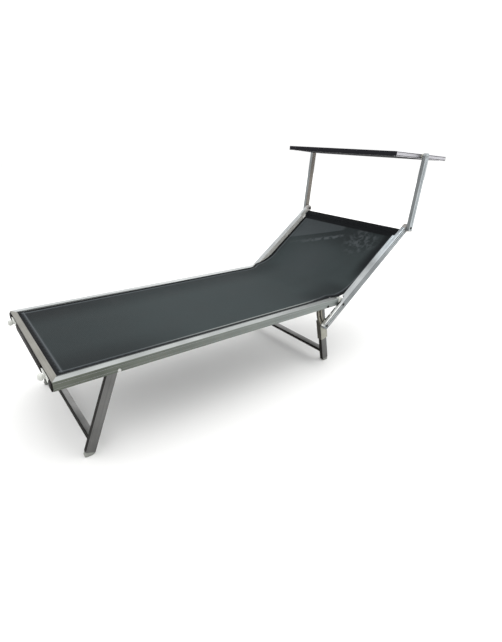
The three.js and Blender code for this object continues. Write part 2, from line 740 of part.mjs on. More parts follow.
function onArc(radius, angle) {
  const turn = angle * DEGREE;
  return [PIVOT_FROM_FOOT - radius * Math.cos(turn), PIVOT_HEIGHT - radius * Math.sin(turn)];
}

function rack() {
  const lowest = PIN_ANGLE - LOWEST_RECLINE_ANGLE;
  const highest = PIN_ANGLE + OVERLIFT_ANGLE;
  const bottom = highest + RACK_END_ANGLE;
  const faces = [-RACK_OUTER_FACE, -RACK_INNER_FACE];
  const cut = [-RACK_OUTER_FACE - OVERRUN, -RACK_INNER_FACE + OVERRUN];
  const band = arcBand(PIN_RADIUS - RACK_INNER_BAND, PIN_RADIUS + RACK_OUTER_BAND, RACK_TOP_ANGLE, bottom);
  const half = BOLT_DIAMETER / 2 + RACK_SLOT_PLAY;
  const slot = arcBand(PIN_RADIUS - half, PIN_RADIUS + half, lowest - RACK_END_ANGLE, highest);
  const notches = NOTCH_ANGLES.map((angle) => rodY(NOTCH_DIAMETER / 2, ...cut,
    ...onArc(PIN_RADIUS + NOTCH_OFFSET, PIN_ANGLE - angle)));
  const above = box(0, PIVOT_FROM_FOOT, ...cut, FLANGE_TOP, SEAT_TOP + OVERRUN);
  const plate = cutBy(alongY(band, ...faces, RACK_ARC_STEPS), [
    alongY(slot, ...cut, RACK_ARC_STEPS),
    rodY(half, ...cut, ...onArc(PIN_RADIUS, highest)),
    ...notches,
    above,
  ]);
  const end = FLANGE_START + FLANGE_LENGTH;
  const flange = box(FLANGE_START, end, -RACK_INNER_FACE - CLEARANCE, -RACK_INNER_FACE + FLANGE_WIDTH,
    FLANGE_TOP - FLANGE_THICKNESS, FLANGE_TOP);
  return plate.add(flange);
}

// A piping rod along X
function pipingX(from, to, y, z) {
  const geometry = new THREE.CylinderGeometry(ROD_DIAMETER / 2, ROD_DIAMETER / 2, to - from, ROD_SIDES);
  geometry.rotateZ(Math.PI / 2);
  geometry.translate((from + to) / 2, y, z);
  return solidOf(geometry);
}

// A gentle dip that is zero all round the edge of a stretched panel
function dip(along, across) {
  return Math.sin(Math.PI * along) * Math.sin(Math.PI * across);
}

// The seat's panel with the piping that is sewn into its three hems and slides in the rails' channels
function seatPanel() {
  const start = FOOT_RAIL_WIDTH - ROD_INSET;
  const half = SEAT_INNER + ROD_INSET;
  const panel = sheet(PANEL_STEPS, PANEL_STEPS_ACROSS, FABRIC_THICKNESS, (along, across) => new THREE.Vector3(
    start + (SEAT_PANEL_LENGTH - start) * along,
    -half + 2 * half * across,
    FABRIC_HEIGHT - SEAT_SAG * dip(along, across),
  ));
  const side = pipingX(FOOT_RAIL_WIDTH + OVERRUN, SEAT_PANEL_LENGTH, -half, FABRIC_HEIGHT);
  const foot = SEAT_INNER - OVERRUN;
  const rod = rodY(ROD_DIAMETER / 2, -foot, foot, start, FABRIC_HEIGHT, ROD_SIDES);
  const corner = box(0, FOOT_RAIL_WIDTH + CLEARANCE, -SEAT_HALF, -SEAT_INNER + CLEARANCE, RAIL_UNDERSIDE,
    SEAT_TOP);
  return joined([panel.subtract(bothSides(corner)), bothSides(side), rod]);
}

// The free bend: a smooth curve in side view from the seat's panel to the back's panel. It widens where it
// has risen over the seat rails' caps
function hingePanel() {
  const turn = RECLINE_ANGLE * DEGREE;
  const gap = CLEARANCE * 2;
  const start = new THREE.Vector2(SEAT_PANEL_LENGTH + gap, FABRIC_HEIGHT);
  const reach = BACK_PANEL_START - gap;
  const end = new THREE.Vector2(
    PIVOT_FROM_FOOT + reach * Math.cos(turn) - BACK_FABRIC * Math.sin(turn),
    PIVOT_HEIGHT + reach * Math.sin(turn) + BACK_FABRIC * Math.cos(turn),
  );
  const run = (end.y - start.y) / Math.tan(turn);
  const corner = new THREE.Vector2(end.x - run, start.y);
  const bend = new THREE.QuadraticBezierCurve(start, corner, end);
  const seatHalf = SEAT_INNER - BACK_RAIL_GAP;
  const backHalf = BACK_INNER - BACK_CHANNEL_WIDTH - CLEARANCE;
  return sheet(BEND_STEPS, PANEL_STEPS_ACROSS, FABRIC_THICKNESS, (along, across) => {
    const place = bend.getPoint(along);
    const spread = (along - SPREAD_START_SHARE) / (SPREAD_END_SHARE - SPREAD_START_SHARE);
    const half = seatHalf + (backHalf - seatHalf) * Math.min(Math.max(spread, 0), 1);
    return new THREE.Vector3(place.x, -half + 2 * half * across, place.y);
  });
}

// Backrest pieces, in the backrest's own frame: X up the rails, Z square to their front, from the pivot
function backRail() {
  const start = -BACK_REACH_DOWN + CLEARANCE;
  const end = BACK_REACH_UP - BACK_END_RADIUS;
  const rail = geometryOf(alongX(backRailProfile(), start, end));
  rail.translate(0, -BACK_OUTER, BACK_FRONT);
  const fin = [-BACK_INNER + CLEARANCE / 2, -BACK_INNER + BACK_CHANNEL_WIDTH + OVERRUN];
  const low = BACK_REAR - OVERRUN;
  const high = BACK_FRONT + OVERRUN;
  const through = [-BACK_OUTER - OVERRUN, -BACK_INNER + OVERRUN];
  const cutters = [
    box(start - OVERRUN, BACK_CHANNEL_START, ...fin, low, high),
    box(BACK_CHANNEL_END, end + OVERRUN, ...fin, low, high),
    rodY(HOLE, ...through, 0, 0),
    rodY(HOLE, ...through, -BACK_REACH_DOWN, BACK_MIDDLE),
  ];
  for (let i = 0; i < BACK_SLOT_COUNT; i += 1) {
    const from = -BACK_REACH_DOWN + BACK_END_RADIUS + i * BACK_SLOT_PITCH;
    cutters.push(box(from, from + BACK_SLOT_LENGTH, -BACK_INNER - BACK_SLOT_WIDTH, -BACK_INNER + OVERRUN,
      BACK_FRONT - BACK_SLOT_WIDTH, high));
  }
  return cutBy(solidOf(rail), cutters);
}

// A half-round end piece for a back rail, with a plug that fits the rail's hollow
function backEndCap(center, direction, plugLength) {
  const face = BACK_MIDDLE;
  const round = new THREE.Shape();
  const start = -direction * Math.PI / 2;
  round.absarc(center, face, BACK_END_RADIUS, start, start + Math.PI, false);
  round.closePath();
  const cap = alongY(round, -BACK_OUTER, -BACK_INNER, ROUND_SIDES / 2);
  const wall = RAIL_WALL + CLEARANCE;
  const inner = [-BACK_OUTER + wall, -BACK_INNER - wall, BACK_REAR + wall, BACK_FRONT - wall];
  const near = direction > 0 ? center - plugLength : center - CLEARANCE;
  const far = direction > 0 ? center + CLEARANCE : center + plugLength;
  return cap.add(box(near, far, ...inner));
}

function topCap() {
  const hole = rodY(HOLE, -BACK_OUTER - OVERRUN, -BACK_INNER + OVERRUN, BACK_REACH_UP, BACK_MIDDLE);
  const block = box(BACK_REACH_UP - BACK_END_RADIUS + CLEARANCE, BACK_REACH_UP, -BACK_OUTER, -BACK_INNER,
    BACK_REAR, BACK_FRONT);
  return backEndCap(BACK_REACH_UP, 1, BACK_END_RADIUS + PLUG_LENGTH).add(block).subtract(hole);
}

function bottomCap() {
  const hole = rodY(HOLE, -BACK_OUTER - OVERRUN, -BACK_INNER + OVERRUN, -BACK_REACH_DOWN, BACK_MIDDLE);
  return backEndCap(-BACK_REACH_DOWN, -1, PLUG_LENGTH).subtract(hole);
}

// A pin through the rail's lower end that runs in the rack's slot
function reclinePin() {
  const head = BOLT_HEAD_DIAMETER / 2;
  const shank = BOLT_DIAMETER / 2;
  const face = -BACK_OUTER - CLEARANCE;
  const tip = -RACK_INNER_FACE - CLEARANCE;
  return turnedY([
    [0, face - BOLT_HEAD_HEIGHT],
    [head * DOME_SHARE, face - BOLT_HEAD_HEIGHT],
    [head * SHOULDER_SHARE, face - BOLT_HEAD_HEIGHT / 2],
    [head, face],
    [shank, face],
    [shank, tip],
    [0, tip],
  ], -BACK_REACH_DOWN, BACK_MIDDLE);
}

// The tube across the top, flush with the rails' back faces
function topTube() {
  const high = BACK_REAR + TOP_TUBE_DEPTH;
  const section = tubeOutline(TOP_TUBE_START, TOP_TUBE_END, BACK_REAR, high, TOP_TUBE_CORNER, TUBE_WALL);
  const half = BACK_INNER - CLEARANCE;
  return alongY(section, -half, half);
}

// The back's panel and, at its head, the hem that goes round the top tube
function backPanel() {
  const half = BACK_INNER - BACK_CHANNEL_WIDTH + ROD_INSET;
  const piping = bothSides(pipingX(BACK_PANEL_START, BACK_CHANNEL_END, -half, BACK_FABRIC));
  const skin = FABRIC_THICKNESS + CLEARANCE;
  const end = TOP_TUBE_START - skin / 2;
  const panel = sheet(PANEL_STEPS, PANEL_STEPS_ACROSS, FABRIC_THICKNESS, (along, across) => new THREE.Vector3(
    BACK_PANEL_START + (end - BACK_PANEL_START) * along,
    -half + 2 * half * across,
    BACK_FABRIC - BACK_SAG * dip(along, across),
  ));
  const round = (grow) => roundedOutline(TOP_TUBE_START - grow, TOP_TUBE_END + grow, BACK_REAR - grow,
    BACK_REAR + TOP_TUBE_DEPTH + grow, TOP_TUBE_CORNER + grow - CLEARANCE);
  const hem = round(skin);
  hem.holes.push(round(CLEARANCE));
  const hemHalf = BACK_INNER - TOP_HEM_INSET;
  return joined([panel, piping, alongY(hem, -hemHalf, hemHalf)]);
}

// Canopy arms, in their own frame: Z up the arm from its lower pivot. The tip is closed and round
function canopyArm() {
  const half = ARM_WIDTH / 2;
  const section = tubeOutline(-half, half, -ARM_OUTER, -ARM_INNER, RAIL_CORNER, TUBE_WALL);
  const tube = alongZ(section, -ARM_END, ARM_LENGTH);
  const tip = new THREE.Shape();
  tip.absarc(0, ARM_LENGTH, half, 0, Math.PI, false);
  tip.closePath();
  const end = alongY(tip, -ARM_OUTER, -ARM_INNER, ROUND_SIDES / 2);
  const through = [-ARM_OUTER - OVERRUN, -ARM_INNER + OVERRUN];
  return cutBy(tube.add(end), [rodY(HOLE, ...through, 0, 0), rodY(HOLE, ...through, 0, ARM_LENGTH)]);
}

// A flat cap under the arm's lower end, with a plug in the tube
function armFootCap() {
  const half = ARM_WIDTH / 2 + ARM_CAP_PROUD;
  const sides = [-ARM_OUTER - ARM_CAP_PROUD / 2, -ARM_INNER + ARM_CAP_PROUD / 2];
  const wall = TUBE_WALL + CLEARANCE * 2;
  const plateEnd = -ARM_END - CLEARANCE;
  const plate = roundedOutline(-half, half, ...sides, RAIL_CORNER);
  const plug = box(-ARM_WIDTH / 2 + wall, ARM_WIDTH / 2 - wall, -ARM_OUTER + wall, -ARM_INNER - wall,
    plateEnd - CLEARANCE, -HOLE - CLEARANCE);
  return alongZ(plate, plateEnd - ARM_CAP_THICKNESS, plateEnd).add(plug);
}

function armBolt() {
  return boltY(-ARM_OUTER - CLEARANCE, -BACK_INNER + CLEARANCE, 0, 0);
}

// Canopy frame, in its own frame: the tilt axis at the origin, X towards the head end
const CANOPY_FRONT = -CANOPY_FRONT_REACH;
const CANOPY_REAR = CANOPY_DEPTH - CANOPY_FRONT_REACH;
const SLEEVE_SKIN = FABRIC_THICKNESS + CLEARANCE;

function canopySideRail() {
  const half = CANOPY_RAIL_HEIGHT / 2;
  const section = tubeOutline(-CANOPY_HALF, -CANOPY_INNER, -half, half, CANOPY_RAIL_CORNER, TUBE_WALL);
  const rail = alongX(section, CANOPY_FRONT + SLEEVE_SKIN, CANOPY_REAR - CANOPY_CAP_THICKNESS - CLEARANCE);
  return rail.subtract(rodY(HOLE, -CANOPY_HALF - OVERRUN, -CANOPY_INNER + OVERRUN, 0, 0));
}

function canopyTube(middle) {
  const half = CANOPY_TUBE_SIZE / 2;
  const section = tubeOutline(middle - half, middle + half, -half, half, CANOPY_RAIL_CORNER, TUBE_WALL);
  const reach = CANOPY_INNER - CLEARANCE;
  return alongY(section, -reach, reach);
}

const FRONT_TUBE_PLACE = CANOPY_FRONT + SLEEVE_SKIN + CANOPY_TUBE_SIZE / 2;
const REAR_TUBE_PLACE = CANOPY_REAR - SLEEVE_SKIN - CANOPY_TUBE_SIZE / 2;

// The canopy's fabric: a sleeve round each tube, a flap over the rails' front ends and a sheet that sags
function canopyFabric() {
  const reach = CANOPY_INNER - CLEARANCE;
  const outer = CANOPY_TUBE_SIZE / 2 + SLEEVE_SKIN;
  const inner = CANOPY_TUBE_SIZE / 2 + CLEARANCE;
  const sleeves = [FRONT_TUBE_PLACE, REAR_TUBE_PLACE].map((middle) => {
    const corner = CANOPY_RAIL_CORNER + SLEEVE_SKIN;
    const ring = roundedOutline(middle - outer, middle + outer, -outer, outer, corner);
    ring.holes.push(roundedOutline(middle - inner, middle + inner, -inner, inner, CANOPY_RAIL_CORNER));
    return alongY(ring, -reach, reach);
  });
  const edge = CANOPY_RAIL_HEIGHT / 2;
  const flap = box(CANOPY_FRONT, CANOPY_FRONT + FABRIC_THICKNESS, -CANOPY_HALF, CANOPY_HALF, -edge, edge);
  const low = -outer + FABRIC_THICKNESS / 2;
  const steps = [CANOPY_STEPS, CANOPY_STEPS_ACROSS];
  const panel = sheet(...steps, FABRIC_THICKNESS, (along, across) => new THREE.Vector3(
    FRONT_TUBE_PLACE + (REAR_TUBE_PLACE - FRONT_TUBE_PLACE) * along,
    -reach + 2 * reach * across,
    low - CANOPY_SAG * Math.sin(Math.PI * along),
  ));
  const spaces = [FRONT_TUBE_PLACE, REAR_TUBE_PLACE].map((middle) => {
    const room = roundedOutline(middle - inner, middle + inner, -inner, inner, CANOPY_RAIL_CORNER);
    return alongY(room, -reach - OVERRUN, reach + OVERRUN);
  });
  return cutBy(joined([...sleeves, flap, panel]), spaces);
}

function canopyRearCap() {
  const half = CANOPY_RAIL_HEIGHT / 2;
  const plate = alongX(roundedOutline(-CANOPY_HALF, -CANOPY_INNER, -half, half, CANOPY_RAIL_CORNER),
    CANOPY_REAR - CANOPY_CAP_THICKNESS, CANOPY_REAR);
  const wall = TUBE_WALL + CLEARANCE * 2;
  const plug = box(CANOPY_REAR - CANOPY_CAP_THICKNESS - PLUG_LENGTH, CANOPY_REAR - CANOPY_CAP_THICKNESS / 2,
    -CANOPY_HALF + wall, -CANOPY_INNER - wall, -half + wall, half - wall);
  return plate.add(plug);
}

function tiltBolt() {
  return boltY(-ARM_OUTER - CLEARANCE, -CANOPY_INNER + CLEARANCE, 0, 0);
}

function tiltWasher() {
  const washer = rodY(TILT_WASHER_DIAMETER / 2, -ARM_INNER + CLEARANCE, -CANOPY_HALF - CLEARANCE, 0, 0);
  return washer.subtract(rodY(HOLE, -ARM_OUTER, -CANOPY_INNER, 0, 0));
}

// Leg pieces, in the leg frame's own frame: Z up the leg from its pivot
function legTube(lean) {
  const half = LEG_WIDTH / 2;
  const reach = LEG_PIVOT_HEIGHT / Math.cos(lean * DEGREE);
  const low = -reach + FOOT_HEIGHT + Math.abs(Math.tan(lean * DEGREE)) * half;
  const section = tubeOutline(-half, half, -LEG_OUTER, -LEG_INNER, LEG_CORNER, TUBE_WALL);
  const outline = new THREE.Shape();
  outline.moveTo(-half, low);
  outline.lineTo(half, low);
  outline.lineTo(half, 0);
  outline.absarc(0, 0, half, 0, Math.PI, false);
  outline.closePath();
  const shape = alongY(outline, -LEG_OUTER - OVERRUN, -LEG_INNER + OVERRUN, ROUND_SIDES / 2);
  const tube = alongZ(section, low, half + OVERRUN).intersect(shape);
  return tube.subtract(rodY(HOLE, -LEG_OUTER - OVERRUN, -LEG_INNER + OVERRUN, 0, 0));
}

// A foot cap: a plug in the tube and a rounded sole that is cut flat on the ground
function footCap(lean) {
  const half = LEG_WIDTH / 2;
  const turn = lean * DEGREE;
  const reach = LEG_PIVOT_HEIGHT / Math.cos(turn);
  const top = -reach + FOOT_HEIGHT + Math.abs(Math.tan(turn)) * half;
  const wide = half - FOOT_INSET;
  const sides = [-LEG_OUTER + FOOT_INSET, -LEG_INNER - FOOT_INSET];
  const outline = roundedOutline(-wide, wide, -reach - FOOT_HEIGHT, top - CLEARANCE, RAIL_WALL);
  const block = alongY(outline, ...sides);
  const wall = TUBE_WALL + CLEARANCE * 2;
  const plug = box(-half + wall, half - wall, -LEG_OUTER + wall, -LEG_INNER - wall, top - OVERRUN,
    top + PLUG_LENGTH);
  const groundY = [-LEG_OUTER - OVERRUN, -LEG_INNER + OVERRUN];
  const ground = -LEG_PIVOT_HEIGHT;
  const lower = geometryOf(box(-FOLD_LENGTH, FOLD_LENGTH, ...groundY, ground * 2, ground));
  lower.rotateY(-turn);
  const rounding = soleRounding(lean, wide, groundY);
  return cutBy(block.add(plug), [solidOf(lower), ...rounding]);
}

// Cuts the two edges of the sole back to a slope, so that only its middle meets the ground
function soleRounding(lean, wide, sides) {
  const turn = lean * DEGREE;
  const reach = LEG_PIVOT_HEIGHT / Math.cos(turn);
  return [-1, 1].map((side) => {
    const ground = (across) => -reach + across * Math.tan(turn);
    const inward = side * (wide - FOOT_ROUNDING);
    const edge = side * (wide + OVERRUN);
    const cut = polygon([
      [inward, ground(inward)],
      [edge, ground(edge) + FOOT_ROUNDING],
      [edge, ground(edge) - FOOT_HEIGHT],
      [inward, ground(inward) - FOOT_HEIGHT],
    ]);
    return alongY(cut, ...sides);
  });
}

function crossbar(lean) {
  const middle = -(LEG_PIVOT_HEIGHT - CROSSBAR_HEIGHT) / Math.cos(lean * DEGREE);
  const section = tubeOutline(-CROSSBAR_WIDTH / 2, CROSSBAR_WIDTH / 2, middle - CROSSBAR_DEPTH / 2,
    middle + CROSSBAR_DEPTH / 2, LEG_CORNER, TUBE_WALL);
  const half = LEG_INNER - CLEARANCE;
  return alongY(section, -half, half);
}

function legSleeve() {
  const half = LEG_WIDTH / 2 + CLEARANCE;
  const wall = SLEEVE_WALL;
  const outer = [-half - wall, half + wall, -LEG_OUTER - CLEARANCE - wall, -LEG_INNER + CLEARANCE + wall];
  const section = roundedOutline(...outer, LEG_CORNER + wall / 2);
  section.holes.push(roundedOutline(-half, half, -LEG_OUTER - CLEARANCE, -LEG_INNER + CLEARANCE, LEG_CORNER));
  return alongZ(section, -SLEEVE_START - SLEEVE_LENGTH, -SLEEVE_START);
}

function addLegFrame(parent, name, pivotX, lean) {
  const frame = new THREE.Group();
  frame.position.set(pivotX, 0, LEG_PIVOT_HEIGHT);
  frame.rotation.y = lean * DEGREE;
  addPair(frame, `${name}_leg`, legTube(lean), 'leg');
  addPair(frame, `${name}_foot`, footCap(lean), 'plastic');
  frame.add(namedMesh(`${name}_crossbar`, crossbar(lean), 'leg'));
  parent.add(frame);
  return frame;
}

function addSeatFrame(parent) {
  addPair(parent, 'seat_rail', seatRail(), 'rail');
  parent.add(namedMesh('foot_rail', footRail(), 'rail'));
  parent.add(namedMesh('seat_cross_tube', seatCrossTube(), 'rail'));
  addPair(parent, 'corner_key', cornerKey(), 'plastic');
  addPair(parent, 'seat_rail_cap', seatRailCap(), 'plastic');
  addPair(parent, 'end_bumper', endBumper(), 'plastic');
  addPair(parent, 'hinge_bolt', hingeBolt(), 'steel');
  addPair(parent, 'front_leg_rivet', legRivet(FRONT_LEG_PIVOT), 'steel');
  addPair(parent, 'rear_leg_rivet', legRivet(REAR_LEG_PIVOT), 'steel');
  addPair(parent, 'recline_rack', rack(), 'nylon');
  parent.add(namedMesh('seat_fabric', seatPanel(), 'fabric'));
  parent.add(namedMesh('hinge_fabric', hingePanel(), 'fabric'));
}

function addBackrest(parent) {
  const back = new THREE.Group();
  back.position.set(PIVOT_FROM_FOOT, 0, PIVOT_HEIGHT);
  back.rotation.y = -RECLINE_ANGLE * DEGREE;
  addPair(back, 'back_rail', backRail(), 'rail');
  addPair(back, 'back_top_cap', topCap(), 'plastic');
  addPair(back, 'back_bottom_cap', bottomCap(), 'plastic');
  addPair(back, 'recline_pin', reclinePin(), 'steel');
  back.add(namedMesh('back_top_tube', topTube(), 'rail'));
  back.add(namedMesh('back_fabric', backPanel(), 'fabric'));
  parent.add(back);
  return back;
}

function addArms(back) {
  const arms = new THREE.Group();
  arms.position.set(BACK_REACH_UP, 0, BACK_MIDDLE);
  arms.rotation.y = (RECLINE_ANGLE + ARM_ANGLE) * DEGREE;
  addPair(arms, 'canopy_arm', canopyArm(), 'rail');
  addPair(arms, 'arm_foot_cap', armFootCap(), 'plastic');
  addPair(arms, 'arm_bolt', armBolt(), 'steel');
  back.add(arms);
  return arms;
}

function addCanopy(arms) {
  const canopy = new THREE.Group();
  canopy.position.set(0, 0, ARM_LENGTH);
  canopy.rotation.y = (CANOPY_ANGLE - ARM_ANGLE) * DEGREE;
  addPair(canopy, 'canopy_side_rail', canopySideRail(), 'rail');
  canopy.add(namedMesh('canopy_front_tube', canopyTube(FRONT_TUBE_PLACE), 'rail'));
  canopy.add(namedMesh('canopy_rear_tube', canopyTube(REAR_TUBE_PLACE), 'rail'));
  canopy.add(namedMesh('canopy_fabric', canopyFabric(), 'sleeve'));
  addPair(canopy, 'canopy_rear_cap', canopyRearCap(), 'plastic');
  addPair(canopy, 'tilt_bolt', tiltBolt(), 'steel');
  addPair(canopy, 'tilt_washer', tiltWasher(), 'nylon');
  arms.add(canopy);
}

const lounger = new THREE.Group();
addSeatFrame(lounger);
addCanopy(addArms(addBackrest(lounger)));
addLegFrame(lounger, 'front', FRONT_LEG_PIVOT, FRONT_LEG_ANGLE);
const rearLegs = addLegFrame(lounger, 'rear', REAR_LEG_PIVOT, REAR_LEG_ANGLE);
addPair(rearLegs, 'leg_sleeve', legSleeve(), 'nylon');

// The pieces are drawn from the foot rail's outer face; the origin moves to the middle of the length
const extent = new THREE.Box3().setFromObject(lounger, true);
lounger.position.x = -(extent.min.x + extent.max.x) / 2;

export default lounger;
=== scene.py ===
# %% [markdown]
# # A sun lounger with a canopy
# The lounger is a folding frame of aluminium rails with a charcoal mesh sling stretched between
# them, a backrest that leans on two nylon racks, two folding leg frames and a flat shade on two
# arms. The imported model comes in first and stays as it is. Each piece is then drawn again over its
# own solid with the rounded edges, grooves, hems and finish of the real one, in metres and in the
# same place.

import json
import math

import bmesh
import bpy
import numpy as np
from mathutils import Matrix, Vector


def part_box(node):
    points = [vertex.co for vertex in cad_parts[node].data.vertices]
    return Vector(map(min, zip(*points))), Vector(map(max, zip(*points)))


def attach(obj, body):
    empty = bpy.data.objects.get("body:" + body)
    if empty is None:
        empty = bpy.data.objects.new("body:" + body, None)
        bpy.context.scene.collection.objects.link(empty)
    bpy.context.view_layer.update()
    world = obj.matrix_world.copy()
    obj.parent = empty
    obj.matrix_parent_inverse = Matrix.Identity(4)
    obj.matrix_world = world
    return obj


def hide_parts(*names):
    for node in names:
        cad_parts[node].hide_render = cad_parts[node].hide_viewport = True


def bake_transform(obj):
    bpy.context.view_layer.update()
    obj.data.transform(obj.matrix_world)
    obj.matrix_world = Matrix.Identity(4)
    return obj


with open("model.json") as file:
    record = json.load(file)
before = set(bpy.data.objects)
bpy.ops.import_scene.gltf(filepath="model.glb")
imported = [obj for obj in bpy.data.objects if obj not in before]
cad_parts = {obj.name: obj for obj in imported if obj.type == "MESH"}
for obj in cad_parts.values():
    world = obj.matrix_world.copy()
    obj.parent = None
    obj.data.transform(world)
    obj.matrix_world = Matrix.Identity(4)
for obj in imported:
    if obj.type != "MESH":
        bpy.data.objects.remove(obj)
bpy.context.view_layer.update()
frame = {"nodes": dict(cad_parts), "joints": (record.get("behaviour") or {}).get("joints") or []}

# %% [markdown]
# ## The camera
# The photograph was taken from the foot end, standing on the left and a little above the seat. A
# wide lens close to the object gives its strong perspective: the foot rail looks as wide as the
# whole backrest. The place and the three angles were solved from the straight rails, so they are
# simply set here.

# %% Camera
PHOTO_WIDTH, PHOTO_FOCAL, SENSOR_MM = 502, 406.5, 36
CAMERA_PLACE = (-1.18581, -1.54475, 1.07059)
YAW, PITCH, ROLL = math.radians(51.4), math.radians(24.1), math.radians(-2.0)


def add_object(name, data):
    """Puts an object with its data into the scene."""
    made = bpy.data.objects.new(name, data)
    bpy.context.scene.collection.objects.link(made)
    return made


level = math.cos(PITCH)
forward = Vector((math.cos(YAW) * level, math.sin(YAW) * level, -math.sin(PITCH)))
level_right = Vector((math.sin(YAW), -math.cos(YAW), 0))
level_down = forward.cross(level_right)
right = math.cos(ROLL) * level_right + math.sin(ROLL) * level_down
down = math.cos(ROLL) * level_down - math.sin(ROLL) * level_right
lens = bpy.data.cameras.new("photo_camera")
lens.sensor_fit = "HORIZONTAL"
lens.sensor_width = SENSOR_MM
lens.lens = PHOTO_FOCAL / PHOTO_WIDTH * SENSOR_MM
lens.clip_start = 0.01
camera = add_object("photo_camera", lens)
axes = Matrix((right, -down, -forward)).transposed().to_4x4()
camera.matrix_world = Matrix.Translation(CAMERA_PLACE) @ axes
bpy.context.scene.camera = camera
print("lens:", round(lens.lens, 2), "mm")

# %% [markdown]
# ## Colours and nodes
# Colours are written as the hex values that a screen shows, and a shader works with linear light,
# so one function turns the first into the second. Every material is a small graph of nodes, and
# one function adds a node to it with its settings and links.

# %% Colours and nodes
def srgb(colour):
    """Turns a hex colour into the linear values that a shader works with."""
    channels = [int(colour[i:i + 2], 16) / 255 for i in (1, 3, 5)]
    return (*[c / 12.92 if c <= 0.04045 else ((c + 0.055) / 1.055) ** 2.4 for c in channels], 1.0)


def feed(node, **inputs):
    """Sets or links a node's inputs by their names; at_0 is the first one."""
    for name, value in inputs.items():
        if name.startswith("at_"):
            socket = node.inputs[int(name[3:])]
        else:
            title = name.replace("_", " ")
            socket = next(s for s in node.inputs if s.enabled and s.name == title)
        if isinstance(value, bpy.types.NodeSocket):
            node.id_data.links.new(value, socket)
        else:
            socket.default_value = value


def add_node(tree, kind, settings=None, output=None, **inputs):
    """Adds a node with its settings and inputs, and returns the output to use."""
    made = tree.nodes.new("ShaderNode" + kind)
    for name, value in (settings or {}).items():
        setattr(made, name, value)
    feed(made, **inputs)
    found = [s for s in made.outputs if s.enabled and output in (None, s.name)]
    return found[0] if found else made


def new_finish(name, **sockets):
    """A material with one Principled shader, whose plain values are set on the shader itself."""
    finish = bpy.data.materials.new(name)
    finish.use_nodes = True
    shader = finish.node_tree.nodes["Principled BSDF"]
    feed(shader, **sockets)
    return finish, finish.node_tree, shader


COLOURS, SMOOTH = {"data_type": "RGBA"}, {"interpolation_type": "SMOOTHSTEP"}
TIMES, PLUS, TIMES_PLUS = ({"operation": name} for name in ("MULTIPLY", "ADD", "MULTIPLY_ADD"))
print("white in linear light:", srgb("#ffffff")[:3])

# %% [markdown]
# ## Floor and light
# A photographer's white sweep would do, but its curve shows from the side. A wide pale disc is
# enough, because the surroundings have the same tone where the two meet. Higher up the
# surroundings are twice as bright, like a white ceiling under lamps, and behind the camera they
# are dimmer. That gives the rails light tops and grey sides: metal shows what stands around it.

# %% Floor
FLOOR_RADIUS, FLOOR_Z, FLOOR_SIDES = 14.0, -0.0006, 96

floor_mesh = bpy.data.meshes.new("floor")
turns = np.linspace(0, math.tau, FLOOR_SIDES + 1)[:-1]
ring = [(FLOOR_RADIUS * math.cos(a), FLOOR_RADIUS * math.sin(a), FLOOR_Z) for a in turns]
floor_mesh.from_pydata(ring, [], [list(range(FLOOR_SIDES))])
floor_mesh.materials.append(
    new_finish("pale_painted_floor", Roughness=0.8, Base_Color=srgb("#e2e2e1"))[0])
add_object("floor", floor_mesh)
print("floor radius:", FLOOR_RADIUS, "m")

# %% Light
HORIZON_GLOW, CEILING_GLOW, DIMMER_BEHIND = 1.04, 2.1, -0.42
BRIGHT_SIDE = (0.60, 0.72, 0.35)
LAMP_PLACE, LAMP_TARGET, LAMP_SIZE, LAMP_WATTS = (1.6, -1.2, 3.0), (0.1, 0, 0.4), 2.4, 16

world = bpy.data.worlds.new("studio")
bpy.context.scene.world = world
world.use_nodes = True
sky = world.node_tree
sky.nodes.clear()
direction = add_node(sky, "TexCoord", output="Generated")
height = add_node(sky, "SeparateXYZ", output="Z", at_0=direction)
ceiling = add_node(sky, "MapRange", SMOOTH, Value=height, From_Max=0.55, To_Min=HORIZON_GLOW,
                   To_Max=CEILING_GLOW)
ahead = add_node(sky, "VectorMath", {"operation": "DOT_PRODUCT"}, "Value", at_0=direction,
                 at_1=BRIGHT_SIDE)
dimmer = add_node(sky, "MapRange", SMOOTH, Value=ahead, From_Min=-0.8, From_Max=0.3,
                  To_Min=DIMMER_BEHIND, To_Max=0.0)
above = add_node(sky, "MapRange", SMOOTH, Value=height, From_Max=0.3)
room = add_node(sky, "Math", TIMES_PLUS, at_0=dimmer, at_1=above, at_2=1.0)
strength = add_node(sky, "Math", TIMES, at_0=ceiling, at_1=room)
glow = add_node(sky, "Background", Color=srgb("#fdfdfd"), Strength=strength)
add_node(sky, "OutputWorld", Surface=glow)

lamp = bpy.data.lights.new("key_light", "AREA")
lamp.shape, lamp.size, lamp.energy = "SQUARE", LAMP_SIZE, LAMP_WATTS
key = add_object("key_light", lamp)
turn = (Vector(LAMP_TARGET) - Vector(LAMP_PLACE)).to_track_quat("-Z", "Y").to_matrix().to_4x4()
key.matrix_world = Matrix.Translation(LAMP_PLACE) @ turn
bpy.context.scene.view_settings.view_transform = "Standard"
print("lamp:", key.name)

# %% [markdown]
# ## Where each body stands
# Every body has its own turned frame, with its joint at the origin. A piece is drawn flat in that
# frame in millimetres, where its sizes are plain numbers, and one matrix then carries it into
# place. Drawing straight into the leaning frames would need a slanted number for every point.

# %% Local frames
MM = 0.001
RECLINE, ARM_LEAN, CANOPY_TILT, FRONT_LEAN, REAR_LEAN = 37.7, 4.4, 3.0, 20.8, -13.0
joint_place = {joint["name"]: Vector(joint["pos_m"]) for joint in frame["joints"]}
foot_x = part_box("foot_rail")[0].x


def local_frame(place, turn):
    """A frame at a place in metres, turned about Y by degrees, for drawing in millimetres."""
    leaned = Matrix.Rotation(math.radians(turn), 4, "Y")
    return Matrix.Translation(place) @ leaned @ Matrix.Scale(MM, 4)


